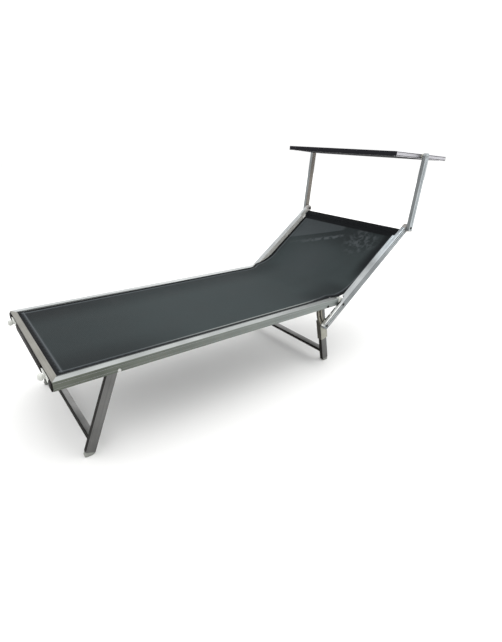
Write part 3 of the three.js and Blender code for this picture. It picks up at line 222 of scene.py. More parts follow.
LEG_LEANS = {"front": FRONT_LEAN, "rear": REAR_LEAN}
PLACES = {"seat_frame": local_frame((foot_x, 0, 0), 0)}
for body, joint, lean in (("backrest", "backrest_recline", -RECLINE),
                          ("canopy_arms", "canopy_arm_swing", ARM_LEAN),
                          ("canopy", "canopy_tilt", CANOPY_TILT),
                          ("front_legs", "front_leg_fold", FRONT_LEAN),
                          ("rear_legs", "rear_leg_fold", REAR_LEAN)):
    PLACES[body] = local_frame(joint_place[joint], lean)
PIVOT_X = (joint_place["backrest_recline"].x - foot_x) / MM
PIVOT_Z = joint_place["backrest_recline"].z / MM
LEG_PIVOT_Z = joint_place["front_leg_fold"].z / MM
print("backrest pivot:", round(PIVOT_X, 1), "mm from the foot,", round(PIVOT_Z, 1), "mm up")

# %% [markdown]
# ## Anodised aluminium
# The rails are extruded aluminium, pushed through a die and then anodised. The die leaves fine
# lines along the rail, and the anodic film makes a satin silver that mirrors only softly. A metal
# keeps the default IOR. The lines of a real die are about 0.3 mm apart. They are drawn at 1.2 mm,
# so that a hint of them shows. One tone for every rail would look new, so each rail has its own
# tone. Some faces get copies of a metal in other tones: painted shade on the outer sides of the
# seat and backrest rails, on the left seat rail's top and on the strip of each seat rail's top
# beside the sling, and painted light on the backrest rails' inner sides, on the left backrest
# rail's front and on the arms' outer sides, whose inner sides are browner.

# %% Anodised aluminium
LINES_PER_METRE, STREAKS_PER_METRE = 830, 2.2


def extruded_metal(name, light, dark, low, high, oxide=0.0, paler=()):
    """Extruded metal: two close tones and a roughness that vary in long streaks along the rail.
    oxide is the share of white oxide on it, and paler lists tones, each with the two places in
    metres between which it sets in."""
    finish, tree, shader = new_finish(name, Metallic=1.0 - oxide)
    metres = add_node(tree, "TexCoord", output="UV")
    streaks = add_node(tree, "Mapping", Vector=metres,
                       Scale=(STREAKS_PER_METRE, LINES_PER_METRE, 1))
    lines = add_node(tree, "TexNoise", {"noise_dimensions": "2D"}, Vector=streaks, Scale=1.0,
                     Detail=3.0)
    cloud = add_node(tree, "TexNoise", Vector=metres, Scale=9.0, Detail=3.0)
    both = add_node(tree, "Math", PLUS, at_0=lines, at_1=cloud)
    tones = add_node(tree, "MapRange", Value=both, From_Min=0.76, From_Max=1.24)
    tint = add_node(tree, "Mix", COLOURS, Factor=tones, A=srgb(dark), B=srgb(light))
    for tone, begin, end in paler:
        along = add_node(tree, "SeparateXYZ", output="X", at_0=metres)
        paling = add_node(tree, "MapRange", Value=along, From_Min=begin, From_Max=end)
        tint = add_node(tree, "Mix", COLOURS, Factor=paling, A=tint, B=srgb(tone))
    dull = add_node(tree, "MapRange", Value=both, From_Min=0.7, From_Max=1.3, To_Min=high,
                    To_Max=low)
    bump = add_node(tree, "Bump", Height=lines, Strength=0.12, Distance=0.0002)
    feed(shader, Base_Color=tint, Roughness=dull, Normal=bump)
    return finish


anodised_rail = extruded_metal("satin_anodised_aluminium", "#aeb1b1", "#989b9b", 0.36, 0.48)
anodised_foot = extruded_metal("warm_anodised_aluminium", "#7b7a74", "#6c6b65", 0.38, 0.5)
anodised_back = extruded_metal("grey_satin_aluminium", "#9ea1a2", "#8a8d8e", 0.38, 0.5)
anodised_arm = extruded_metal("dull_anodised_aluminium", "#85898a", "#757879", 0.46, 0.58, 0.2)
anodised_bar = extruded_metal("grey_anodised_aluminium", "#8b8b8a", "#787877", 0.4, 0.52)
anodised_leg = extruded_metal("dark_anodised_aluminium", "#737372", "#626261", 0.42, 0.54)
anodised_canopy = extruded_metal("bright_anodised_aluminium", "#c4c3c8", "#b0afb4", 0.34, 0.46)
print("metals:", anodised_rail.name, anodised_leg.name, anodised_canopy.name)

# %% Aluminium with painted shade and light
# Painted shade: the left seat rail's top is darker than the right one's.
left_top_shade = extruded_metal("left_top_with_painted_shade", "#9a9d9c", "#868988", 0.38, 0.5)
# Painted light on the left backrest rail's front, paler towards its upper part and its lower end.
left_front_light = extruded_metal("left_front_with_painted_light", "#9ea1a2", "#8a8d8e", 0.38, 0.5,
                            paler=[("#ecf5fa", 0.27, 0.46), ("#f6f7f4", 0.01, -0.06)])
# Painted shade on the strip of each seat rail's top beside the sling, on the right rail only near
# the foot.
rail_edge_shade = extruded_metal("rail_edge_with_painted_shade", "#4c4f4e", "#3e4140", 0.5, 0.6)
dirty_foot_end = extruded_metal("aluminium_with_a_dirty_foot_end", "#4c4f4e", "#3e4140", 0.5, 0.6,
                                paler=[("#aeb1b1", 0.3, 0.8)])
# Painted shade on the seat rails' outer sides, paler towards the head end.
rail_side_shade = extruded_metal("anodised_side_with_painted_shade", "#666a62", "#565a53", 0.46, 0.58,
                             paler=[("#858b89", 0.1, 1.35)])
# Painted shade on the backrest rails' outer sides, and painted light on their inner sides.
back_side_shade = extruded_metal("back_side_with_painted_shade", "#7b7f81", "#6a6e70", 0.5, 0.62, 0.55)
back_inner_light = extruded_metal("back_inner_side_with_painted_light", "#d3d3ce", "#c2c2bd", 0.5, 0.62, 0.85)
# The arms' outer sides get painted light, and their inner sides a browner tone.
arm_inner_tone = extruded_metal("stained_anodised_side", "#868079", "#75706b", 0.5, 0.62, 0.5)
arm_outer_light = extruded_metal("pale_anodised_side", "#aab0b3", "#989ea1", 0.42, 0.54, 0.3)
print("worn metals:", left_top_shade.name, rail_edge_shade.name, back_inner_light.name)

# %% [markdown]
# ## Moulded nylon, polypropylene and rubber
# The racks and leg sleeves are moulded nylon, warm and slightly waxy. The caps and bumpers are
# polypropylene, a cooler light grey. Both come from a spark-eroded mould, so their skin is finely
# pebbled. The grain is about 0.4 mm across on the real ones and drawn at 1.6 mm. The feet are
# rubber, which is duller, and so are the black buffers. The same matt black is painted shade in
# the foot rail's channel, in the canopy rails' grooves and on faces towards the foot end, and a
# darker nylon is painted shade on the racks' and sleeves' faces towards the foot end.

# %% Moulded plastics
GRAIN = 1.6 * MM


def moulded(name, light, dark, roughness, level=0.5):
    """Moulded plastic: a faintly clouded colour over a fine spark-eroded grain."""
    finish, tree, shader = new_finish(name, IOR=1.5, Specular_IOR_Level=level)
    place = add_node(tree, "TexCoord", output="Object")
    cloud = add_node(tree, "TexNoise", Vector=place, Scale=22.0, Detail=4.0)
    grain = add_node(tree, "TexNoise", Vector=place, Scale=1 / GRAIN, Detail=2.0)
    tones = add_node(tree, "MapRange", Value=cloud, From_Min=0.35, From_Max=0.65)
    tint = add_node(tree, "Mix", COLOURS, Factor=tones, A=srgb(dark), B=srgb(light))
    dull = add_node(tree, "MapRange", Value=grain, From_Min=0.3, From_Max=0.7,
                    To_Min=roughness - 0.06, To_Max=roughness + 0.06)
    bump = add_node(tree, "Bump", Height=grain, Strength=0.25, Distance=0.0003)
    feed(shader, Base_Color=tint, Roughness=dull, Normal=bump)
    return finish


nylon = moulded("moulded_nylon", "#9c9b90", "#88877c", 0.5)
rack_nylon = moulded("grey_brown_nylon", "#787468", "#66635a", 0.5, 0.3)
# Painted shade for the nylon's faces towards the foot end.
shaded_nylon = moulded("nylon_with_painted_shade", "#4b4942", "#3a3833", 0.6, 0.2)
polypropylene = moulded("moulded_polypropylene", "#c3c5c0", "#b1b3ae", 0.46)
grey_cap = moulded("grey_moulded_cap", "#a4a19e", "#908d8a", 0.46)
grey_rubber = moulded("grey_rubber_foot", "#82847f", "#6e706c", 0.55, 0.3)
# A matt black for the buffers, which also serves as painted shade.
black_rubber_and_shade = moulded("matt_black_rubber_and_painted_shade", "#171512", "#100e0c", 0.62, 0.12)
print("plastics:", nylon.name, polypropylene.name, black_rubber_and_shade.name)

# %% [markdown]
# ## Fasteners
# The bolts of the canopy are steel with a thin zinc coat that has gone dull outdoors. Those of the
# arms, the rear legs and the backrest's hinge look black, so they have a black oxide, and the
# front legs turn on bright aluminium rivets. Each coat is a little blotchy, and duller where it
# has oxidised.

# %% Fastener metals
def plated(name, light, dark, low, high):
    """A metal with a thin blotchy coat, duller where the coat is darker."""
    finish, tree, shader = new_finish(name, Metallic=1.0)
    place = add_node(tree, "TexCoord", output="Object")
    blotch = add_node(tree, "TexNoise", Vector=place, Scale=260.0, Detail=4.0)
    tint = add_node(tree, "Mix", COLOURS, Factor=blotch, A=srgb(dark), B=srgb(light))
    dull = add_node(tree, "MapRange", Value=blotch, From_Min=0.3, From_Max=0.7, To_Min=high,
                    To_Max=low)
    feed(shader, Base_Color=tint, Roughness=dull)
    return finish


zinc_steel = plated("zinc_plated_steel", "#b4b6b8", "#77797b", 0.26, 0.48)
rivet_metal = plated("bright_aluminium_rivet", "#cfd0ce", "#a9aaa8", 0.26, 0.42)
blackened_steel = plated("blackened_steel", "#3a3836", "#211f1e", 0.4, 0.6)
print("fastener metals:", zinc_steel.name, rivet_metal.name, blackened_steel.name)

# %% [markdown]
# ## Painted shade and light on the sling
# The cloth is painted darker towards its ends and edges, and beside the left back rail that
# darkening is painted shade. On the upper back the pale ground shows through it in faint patches.
# Real see-through cloth would show another ground, so the patches are painted light in its tone,
# with a faint painted sheen. Each darker or paler place is a product of soft steps across the
# cloth, which needs no painted image and keeps its place when the backrest moves.

# %% Painted shade and light on the cloth
def mask(tree, strength, *steps):
    """A share: soft steps, each of a value from 0 at low to 1 at high, and a strength,
    multiplied."""
    share = strength
    for value, low, high in steps:
        step = add_node(tree, "MapRange", SMOOTH, Value=value, From_Min=low, From_Max=high)
        share = add_node(tree, "Math", TIMES, at_0=step, at_1=share)
    return share


def darkening_and_light(tree, along, side):
    """How much darker and how much paler the cloth is painted: darker towards the foot, along the
    right rail, at the left foot corner, left of the hinge and on the upper back, with painted shade
    beside the left back rail, and paler with painted light where the ground shows through and a
    painted sheen. Places are in metres: along its path from the foot, up the backrest from the
    hinge and to the side, with the left side below zero."""
    up = add_node(tree, "Attribute", {"attribute_name": "up_back"}, "Fac")
    # Painted shade beside the left back rail; the other shares only make the cloth darker there.
    left_rail_shade = mask(tree, 0.9, (side, -0.235, -0.30), (up, 0.12, 0.28))
    upper_back = mask(tree, 0.45, (up, 0.28, 0.42))
    foot = mask(tree, 0.34, (along, 0.65, 0.05))
    right_rail = mask(tree, 0.45, (side, 0.1, 0.27), (up, 0.15, 0.0))
    foot_corner = mask(tree, 0.3, (side, -0.12, -0.27), (along, 0.6, 0.2))
    hinge_corner = mask(tree, 0.5, (side, -0.12, -0.26), (along, 1.1, 1.25), (up, 0.14, 0.06))
    dull = add_node(tree, "Math", {"operation": "MAXIMUM"}, at_0=left_rail_shade, at_1=upper_back)
    for share in (foot, right_rail, foot_corner, hinge_corner):
        dull = add_node(tree, "Math", PLUS, at_0=dull, at_1=share)

    # Painted light where the pale ground shows through: a wedge, a broken line and a mottled patch,
    # with a painted sheen.
    spot = add_node(tree, "CombineXYZ", X=up, Y=side)
    speckle = add_node(tree, "TexNoise", Vector=spot, Scale=30.0, Detail=5.0, Roughness=0.6)
    slant = add_node(tree, "Math", TIMES_PLUS, at_0=side, at_1=0.4485, at_2=up)
    ragged = add_node(tree, "Math", TIMES_PLUS, at_0=speckle, at_1=0.06, at_2=slant)
    from_patch, from_sheen = (
        add_node(tree, "VectorMath", {"operation": "DISTANCE"}, "Value", at_0=spot, at_1=centre)
        for centre in ((0.415, -0.17, 0), (0.2, 0.06, 0)))
    wedge = mask(tree, 0.36, (slant, 0.446, 0.454), (side, -0.025, 0.01))
    broken_line = mask(tree, 0.6, (ragged, 0.412, 0.426), (ragged, 0.446, 0.432),
                       (side, 0.34, 0.0), (side, -0.05, -0.02), (speckle, 0.36, 0.5))
    mottled = mask(tree, 0.5, (from_patch, 0.13, 0.04), (speckle, 0.43, 0.62))
    pale = mask(tree, 0.13, (from_sheen, 0.24, 0.0))
    for share in (wedge, broken_line, mottled):
        pale = add_node(tree, "Math", PLUS, at_0=pale, at_1=share)
    return dull, pale


print("wear: 6 dull places and 4 pale ones")

# %% [markdown]
# ## The weave
# The sling is coated polyester yarn woven one over one into a tight mesh, the usual cloth of
# garden loungers. It is cool, matt and lets about one part in a hundred of the light through. Its
# yarns are 1 mm apart, and are drawn at 3 mm so that the weave shows. Near its edges the cloth is
# folded into a double hem, which is darker, and a row of stitches holds the fold. The fold's ridge
# carries a painted highlight, which is paler along the left of the seat. The canopy's cloth is
# woven in the same way, but without gaps and nearly black.

# %% Mesh weave
YARN = 3.0 * MM
STITCH = 7.0 * MM  # a quarter of a stitch with its gap, drawn long so that it shows
WAVE = math.tau / 20 / 2  # the wave texture's scale for one wave over two yarns
# The painted highlight on the fold's ridge along the left of the seat.
LEFT_RIDGE_HIGHLIGHT = "#9da29f"


def woven(name, light, dark, hem, highlight_and_thread_tone, openness, with_darkening_and_light=False):
    """A one-over-one weave from two bands of yarn, darker where the attribute hem says that the
    cloth is double, with a painted highlight on the fold's ridge."""
    finish, tree, shader = new_finish(name, Alpha=1 - openness, IOR=1.5, Specular_IOR_Level=0.08)
    metres = add_node(tree, "TexCoord", output="UV")
    along, side = (add_node(tree, "SeparateXYZ", output=axis, at_0=metres) for axis in "XY")
    yarns = add_node(tree, "Mapping", Vector=metres, Scale=(1 / YARN, 1 / YARN, 1))
    warp, weft = (add_node(tree, "TexWave", {"bands_direction": axis}, Vector=yarns, Scale=WAVE)
                  for axis in "XY")
    over = add_node(tree, "TexChecker", output="Fac", Vector=yarns, Scale=1.0)
    height = add_node(tree, "Mix", {"data_type": "FLOAT"}, Factor=over, A=warp, B=weft)
    cloud = add_node(tree, "TexNoise", Vector=metres, Scale=7.0, Detail=5.0)
    part = add_node(tree, "Math", TIMES, at_0=cloud, at_1=0.7)
    shade = add_node(tree, "Math", TIMES_PLUS, at_0=height, at_1=0.45, at_2=part)
    cloth = add_node(tree, "Mix", COLOURS, Factor=shade, A=srgb(dark), B=srgb(light))

    fold, edge, sewn = (add_node(tree, "Attribute", {"attribute_name": title}, "Fac")
                        for title in ("hem", "ridge", "stitch"))
    # A painted highlight on the fold's ridge, paler along the left of the seat.
    painted_light_and_shade = add_node(tree, "Math", TIMES, at_0=edge, at_1=0.7)
    left_ridge_highlight = mask(tree, 1.0, (along, 0.2, 0.75), (along, 1.25, 1.1), (side, 0.1, -0.1))
    ridge_highlight_tone = add_node(tree, "Mix", COLOURS, Factor=left_ridge_highlight, A=srgb(highlight_and_thread_tone), B=srgb(LEFT_RIDGE_HIGHLIGHT))
    slanted = add_node(tree, "Mapping", Vector=metres, Scale=(1 / STITCH, 1 / STITCH, 1))
    pulse = add_node(tree, "TexWave", {"bands_direction": "DIAGONAL"}, Vector=slanted, Scale=WAVE)
    dashes = add_node(tree, "Math", TIMES, at_0=sewn, at_1=pulse)
    dashes = add_node(tree, "Math", TIMES, at_0=dashes, at_1=0.4)
    layers = [(fold, srgb(hem)), (painted_light_and_shade, ridge_highlight_tone), (dashes, srgb(highlight_and_thread_tone))]
    if with_darkening_and_light:
        dull, pale = darkening_and_light(tree, along, side)
        layers = [(dull, srgb(hem)), (pale, srgb(highlight_and_thread_tone)), *layers]
    for share, tone in layers:
        cloth = add_node(tree, "Mix", COLOURS, Factor=share, A=cloth, B=tone)
    bump = add_node(tree, "Bump", Height=height, Strength=0.35, Distance=0.0006)
    dull = add_node(tree, "MapRange", Value=cloud, From_Min=0.3, From_Max=0.7, To_Min=0.72,
                    To_Max=0.86)
    feed(shader, Base_Color=cloth, Roughness=dull, Normal=bump)
    return finish


mesh_weave = woven("coated_mesh_weave", "#363d3e", "#24292a", "#131517", "#53585b", 0.012, True)
canopy_weave = woven("black_woven_cloth", "#222226", "#141417", "#121215", "#2a2b2d", 0.0)
print("weaves:", mesh_weave.name, canopy_weave.name, "yarn", YARN)

# %% [markdown]
# ## Tools for shaping
# Most pieces are one outline pushed along one direction, as an extruded rail or a moulded plate
# is. A plain box with a bevel would lose the channels and grooves, so each outline is drawn point
# by point and its ends are closed. Another group is turned about an axis, as bolts are.

# %% Outlines
def arc(cu, cv, radius, start, end, steps=16):
    """Points on a circle between two angles in degrees."""
    angles = [math.radians(start + (end - start) * i / steps) for i in range(steps + 1)]
    return [(cu + radius * math.cos(a), cv + radius * math.sin(a)) for a in angles]


def rounded(u0, u1, v0, v1, radius, steps=6):
    """A rectangle's outline with round corners, counter-clockwise."""
    corners = ((u1 - radius, v0 + radius, -90), (u1 - radius, v1 - radius, 0),
               (u0 + radius, v1 - radius, 90), (u0 + radius, v0 + radius, 180))
    return [point for cu, cv, start in corners
            for point in arc(cu, cv, radius, start, start + 90, steps)]


def shifted(outlines, du, dv):
    """Outlines moved to another place in their plane."""
    return [[(u + du, v + dv) for u, v in outline] for outline in outlines]


print("corner points:", len(rounded(0, 20, 0, 20, 3)))

# %% Pushing an outline
AXES = {"x": (1, 2, 0), "y": (0, 2, 1), "z": (0, 1, 2)}


def spot_on(axis, u, v, at):
    """A place with two coordinates across an axis and one along it."""
    spot = [0, 0, 0]
    for k, value in zip(AXES[axis], (u, v, at)):
        spot[k] = value
    return spot


def pushed(outlines, axis, start, end):
    """A closed mesh of an outline, with holes after it, pushed along an axis. Each end is a place
    or a function that gives one for every point."""
    shape = bmesh.new()
    ends = [side if callable(side) else (lambda u, v, at=side: at) for side in (start, end)]
    rims = []
    for outline in outlines:
        rings = [[shape.verts.new(spot_on(axis, u, v, place_at(u, v))) for u, v in outline]
                 for place_at in ends]
        for i in range(len(outline)):
            j = (i + 1) % len(outline)
            shape.faces.new((rings[0][i], rings[0][j], rings[1][j], rings[1][i]))
        rims.append(rings)
    for side in (0, 1):
        rim = [edge for rings in rims for vert in rings[side] for edge in vert.link_edges
               if edge.other_vert(vert) in rings[side]]
        bmesh.ops.triangle_fill(shape, edges=list(dict.fromkeys(rim)), use_beauty=True)
    bmesh.ops.recalc_face_normals(shape, faces=shape.faces)
    return shape


print("axes:", list(AXES))

# %% Turning a profile
def turned(profile, axis, centre, sides=40):
    """A closed mesh of a profile of (radius, along) points turned about an axis."""
    shape = bmesh.new()
    rings = []
    for radius, at in profile:
        angles = [math.tau * i / sides for i in range(sides if radius > 0 else 1)]
        rings.append([shape.verts.new(spot_on(axis, centre[0] + radius * math.cos(a),
                                              centre[1] + radius * math.sin(a), at))
                      for a in angles])
    for near, far in zip(rings, rings[1:]):
        for i in range(sides):
            j = (i + 1) % sides
            corners = list(dict.fromkeys([near[i % len(near)], near[j % len(near)],
                                          far[j % len(far)], far[i % len(far)]]))
            if len(corners) > 2:
                shape.faces.new(corners)
    bmesh.ops.recalc_face_normals(shape, faces=shape.faces)
    return shape


print("a cone's faces:", len(turned([(0, 0), (5, 0), (0, 5)], "z", (0, 0)).faces))

# %% [markdown]
# ## Rims, joining and cutting
# No edge of a real moulding or tube is sharp, and its rim catches a thin line of light, so the
# sharp edges are bevelled in steps. Slots are cut by subtracting a mesh, which leaves real walls
# inside them.

# %% Rims
def eased(shape, width, steps=3, angle=40):
    """Rounds every edge that is sharper than an angle."""
    sharp = [e for e in shape.edges
             if len(e.link_faces) == 2 and e.calc_face_angle(0) > math.radians(angle)]
    bmesh.ops.bevel(shape, geom=sharp, offset=width, segments=steps, affect="EDGES", profile=0.5,
                    clamp_overlap=True)
    return shape


def block(outline, axis, start, end, rim, steps=3, angle=50):
    """A solid piece of one outline pushed along an axis, with rounded rims."""
    return eased(pushed([outline], axis, start, end), rim, steps, angle)


print("a block's faces:", len(block(rounded(0, 20, 0, 20, 3), "x", 0, 5, 1).faces))

# %% Joining and cutting
def together(*shapes):
    """Several meshes as one."""
    whole = bmesh.new()
    for shape in shapes:
        part = bpy.data.meshes.new("part")
        shape.to_mesh(part)
        shape.free()
        whole.from_mesh(part)
        bpy.data.meshes.remove(part)
    return whole


def evaluated(made):
    """An object as it is with its modifiers."""
    bpy.context.view_layer.update()
    return made.evaluated_get(bpy.context.evaluated_depsgraph_get())


def cut_away(shape, *cutters):
    """Subtracts meshes from a mesh."""
    holders = []
    for one in (shape, *cutters):
        holders.append(add_object("cut", bpy.data.meshes.new("cut")))
        one.to_mesh(holders[-1].data)
        one.free()
    for cutter in holders[1:]:
        cut = holders[0].modifiers.new("cut", "BOOLEAN")
        cut.operation, cut.object, cut.solver = "DIFFERENCE", cutter, "EXACT"
    result = bmesh.new()
    result.from_mesh(evaluated(holders[0]).data)
    for holder in holders:
        mesh = holder.data
        bpy.data.objects.remove(holder)
        bpy.data.meshes.remove(mesh)
    return result


cube = [rounded(0, 20, 0, 20, 3)]
notched = cut_away(pushed(cube, "x", 0, 20), pushed(shifted(cube, 10, 10), "x", 5, 15))
print("a notched cube's faces:", len(notched.faces))

# %% [markdown]
# ## Putting a piece in place
# Each piece gets texture coordinates in metres, along and across, before it is carried into place,
# so that streaks and yarns keep their real size and run the right way. It then rides on its body
# and hides the solid that it stands for.

# %% Texture coordinates
UV_SHIFT = 0.37  # keeps the streaks of two neighbouring sides from being the same


def lay_coordinates(mesh, along):
    """Texture coordinates in metres: the first along the piece, the second round it."""
    layer = mesh.uv_layers.new(name="metres")
    across = [k for k in range(3) if k != along]
    for face in mesh.polygons:
        flat = max(across, key=lambda k: abs(face.normal[k]))
        other = across[0] if flat == across[1] else across[1]
        for loop in face.loop_indices:
            spot = mesh.vertices[mesh.loops[loop].vertex_index].co
            layer.data[loop].uv = (spot[along] * MM, spot[other] * MM + flat * UV_SHIFT)


print("shift between sides:", UV_SHIFT, "m")

# %% Placing
CREASE = 32  # an edge sharper than this many degrees isn't shaded smoothly
SIDES = {"left": 1, "right": -1}
pieces_made = {}


def put(name, shape, body, finish, slot, stands_for=(), along=0, mirror=False, others=(),
        place=None):
    """Makes the object of a mesh drawn in millimetres, in its body's frame unless a place is
    given. others are more finishes, each with a test that says which faces have it."""
    mesh = bpy.data.meshes.new(name)
    if mirror:
        bmesh.ops.scale(shape, vec=(1, -1, 1), verts=shape.verts)
        bmesh.ops.reverse_faces(shape, faces=shape.faces)
    shape.to_mesh(mesh)
    shape.free()
    lay_coordinates(mesh, along)
    mesh.materials.append(finish)
    for index, (other, has_it) in enumerate(others, start=1):
        mesh.materials.append(other)
        for face in mesh.polygons:
            if has_it(face):
                face.material_index = index
    mesh.transform(PLACES[body] if place is None else place)
    mesh.shade_smooth()
    mesh.set_sharp_from_angle(angle=math.radians(CREASE))
    made = add_object(name, mesh)
    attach(made, body)
    if stands_for:
        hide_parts(*stands_for)
    pieces_made[name] = len(mesh.polygons)
    return made


def pair(name, draw, body, finish, slot, stands_for=(), **options):
    """The left piece and its mirror image on the right, each over its own solid."""
    for side, sign in SIDES.items():
        solids = [f"{node}_{side}" for node in stands_for]
        put(f"{name}_{side}", draw(), body, finish, slot, solids, mirror=sign < 0, **options)


# %% Which faces get another finish
def is_outer(face):
    """Faces that look outwards, away from the lounger's middle."""
    return face.normal.y * math.copysign(1, face.center.y) > 0.6


def is_inner(face):
    """Faces that look inwards."""
    return face.normal.y * math.copysign(1, face.center.y) < -0.6


def is_left_front(face):
    """Faces of a left piece that look up, or forwards on the backrest."""
    return face.normal.z > 0.5 and face.center.y < 0


def is_foot_side(face):
    """Faces that look towards the foot end."""
    return face.normal.x < -0.6


print("face tests:", len((is_outer, is_inner, is_left_front, is_foot_side)))

# %% [markdown]
# ## The seat's side rails
# The real rail is one extrusion: a hollow box with a keyhole channel along its inner edge for the
# sling's piping and two shallow grooves along its outer face. The whole section is drawn, because
# the channel's dark slot and the grooves' thin lines are what tell an extrusion from a box. The
# foot end is cut to a mitre. The strip of each rail's top that lies beside the sling is painted
# with the sling's shade, all along the left rail and near the foot on the right one.

# %% Sections
GAP = 0.3  # what neighbouring pieces stay apart
SEAT_TOP, SEAT_HALF, SEAT_LENGTH = 368.0, 343.0, 1345.0
RAIL_WIDTH, RAIL_HEIGHT, FOOT_WIDTH = 34.0, 35.5, 22.0
WALL, SLOT_DROP, BORE, SLOT = 1.6, 5.4, 7.2, 2.8
CHANNEL_FLOOR, CHANNEL_DEPTH = 10.6, 10.4
RIB_DEPTH, RIB_WIDTH = 0.7, 1.8


def groove(u, v, depth=RIB_DEPTH, width=RIB_WIDTH):
    """A shallow round groove in a face at u, from above to below v."""
    return [(u, v + width / 2), (u + depth * 0.8, v + width / 4), (u + depth, v),
            (u + depth * 0.8, v - width / 4), (u, v - width / 2)]


def keyhole(lip, drop):
    """The piping channel in a face at u = lip, from its lower lip to its upper one."""
    bore_u = lip - WALL - BORE / 2
    reach = math.degrees(math.asin(SLOT / BORE))
    around = arc(bore_u, -drop, BORE / 2, 360 - reach, reach, 18)
    return [(lip, -drop - SLOT / 2 - 0.4), (lip - 0.4, -drop - SLOT / 2), *around,
            (lip - 0.4, -drop + SLOT / 2), (lip, -drop + SLOT / 2 + 0.4)]


def rail_corners(width, height, radius, *middle):
    """A rail's outline from the top of its outer face round to the top of its inner one, with
    what lies on the outer face between the first two corners."""
    return [*arc(radius, -radius, radius, 90, 180, 5), *middle,
            *arc(radius, -height + radius, radius, 180, 270, 5),
            *arc(width - radius, -height + radius, radius, 270, 360, 5)]


print("groove points:", len(groove(0, 0)), "keyhole points:", len(keyhole(0, 0)))

# %% Side rails
SHADE_STRIP = 7.0


def side_rail():
    """The left rail in the seat's frame, mitred at the foot: u is inwards, v is up."""
    w, h = RAIL_WIDTH, RAIL_HEIGHT
    grooves = [*groove(0, -9.5), *groove(0, -26.5)]
    outer = [*rail_corners(w, h, 2.5, *grooves),
             *keyhole(w, SLOT_DROP), *arc(w - 1.4, -1.4, 1.4, 0, 90, 4), (w - SHADE_STRIP, 0)]
    inner = [(WALL, -h + WALL), (w - WALL, -h + WALL), (w - WALL, -CHANNEL_FLOOR),
             (w - CHANNEL_DEPTH, -CHANNEL_FLOOR), (w - CHANNEL_DEPTH, -WALL), (WALL, -WALL)]
    slope = FOOT_WIDTH / RAIL_WIDTH
    return pushed(shifted([outer, inner], -SEAT_HALF, SEAT_TOP), "x",
                  lambda u, v: (u + SEAT_HALF) * slope + GAP / 2, SEAT_LENGTH)


def is_strip(sign):
    """A test for the strip of a rail's top beside the sling: the left rail's sign is -1."""
    inner_edge = SEAT_HALF - RAIL_WIDTH + SHADE_STRIP
    return lambda face: face.normal.z > 0.5 and 0 < face.center.y * sign < inner_edge


# Painted shade on the outer sides, on the left top and on each strip beside the sling.
pair("side_rail", side_rail, "seat_frame", anodised_rail, "rail", ["seat_rail"],
     others=[(rail_side_shade, is_outer), (left_top_shade, is_left_front), (rail_edge_shade, is_strip(-1)),
             (dirty_foot_end, is_strip(1))])
print("side rail faces:", pieces_made["side_rail_left"])

# %% [markdown]
# ## The foot rail
# It is narrower than the side rails and has an open channel along its outer face. A black strip in
# the channel is painted shade, and it comes in three lengths, because it stops short of the two
# bumpers' plates. The mitres meet those of the side rails with a hairline joint.

# %% Foot rail
def foot_rail():
    """The foot rail from mitre to mitre."""
    w, h, deep, lip = FOOT_WIDTH, RAIL_HEIGHT, 7.0, 5.0
    outer = [*arc(w - 1.6, -h + 1.6, 1.6, 270, 360, 4), *keyhole(w, SLOT_DROP),
             *arc(w - 1.4, -1.4, 1.4, 0, 90, 4), *arc(1.6, -1.6, 1.6, 90, 180, 4),
             (0, -lip + 0.5), (0.5, -lip), (deep, -lip), (deep, -h + lip), (0.5, -h + lip),
             (0, -h + lip - 0.5), *arc(1.6, -h + 1.6, 1.6, 180, 270, 4)]
    inner = [(deep + WALL, -h + WALL), (w - WALL, -h + WALL), (w - WALL, -CHANNEL_FLOOR),
             (deep + WALL, -CHANNEL_FLOOR)]
    slope = RAIL_WIDTH / FOOT_WIDTH
    return pushed(shifted([outer, inner], 0, SEAT_TOP), "y",
                  lambda u, v: -SEAT_HALF + u * slope + GAP / 2,
                  lambda u, v: SEAT_HALF - u * slope - GAP / 2)


def foot_shade_strip(start, end):
    """A length of the black strip in the foot rail's channel, which is painted shade: its round face
    swells out over the rail's lower lip."""
    low, high = SEAT_TOP - RAIL_HEIGHT, SEAT_TOP
    section = [(6.9, high - 5.3), (6.9, low + 5.3), (-0.2, low + 5.3), (-0.2, low + 0.4),
               (-2.2, low - 0.6), (-4.4, low + 0.6), (-5.6, low + 4.0), (-5.8, low + 12),
               (-5.2, high - 12), (-3.6, high - 7.4), (-1.6, high - 5.6), (-0.2, high - 5.3)]
    return block(section, "y", start, end, 0.7, 2, 60)


put("foot_rail_look", foot_rail(), "seat_frame", anodised_foot, "rail", ["foot_rail"], along=1)
# The black strips in the channel are painted shade.
for part, start, end in (("left", 308, 340), ("middle", -200, 200), ("right", -340, -308)):
    put(f"foot_rail_shade_strip_{part}", foot_shade_strip(start, end), "seat_frame", black_rubber_and_shade, "plastic",
        along=1)
print("foot rail faces:", pieces_made["foot_rail_look"])

# %% [markdown]
# ## Tubes
# Cross tubes, canopy tubes and crossbars are plain rounded tubes, cut from a length and set between
# two rails or legs. Each is its outer outline with the hollow inside it, pushed across.

# %% Cross tubes
CROSSBAR_Z, TUBE_WALL = 60.0, 1.5


def cross_tube(name, half, u0, u1, v0, v1, radius, body, finish, slot="rail", others=()):
    """A rounded rectangular tube across the lounger, over the solid of the same name."""
    hollow = rounded(u0 + TUBE_WALL, u1 - TUBE_WALL, v0 + TUBE_WALL, v1 - TUBE_WALL,
                     max(radius - TUBE_WALL, 0.5), 4)
    shape = pushed([rounded(u0, u1, v0, v1, radius), hollow], "y", -half, half)
    put(f"{name}_look", shape, body, finish, slot, [name], along=1, others=others)


cross_tube("seat_cross_tube", 308.7, 1290, 1315, 334.1, 354.1, 3.5, "seat_frame", anodised_rail)
cross_tube("back_top_tube", 346.7, 507, 539, -24.2, -10.2, 5.5, "backrest", anodised_rail)
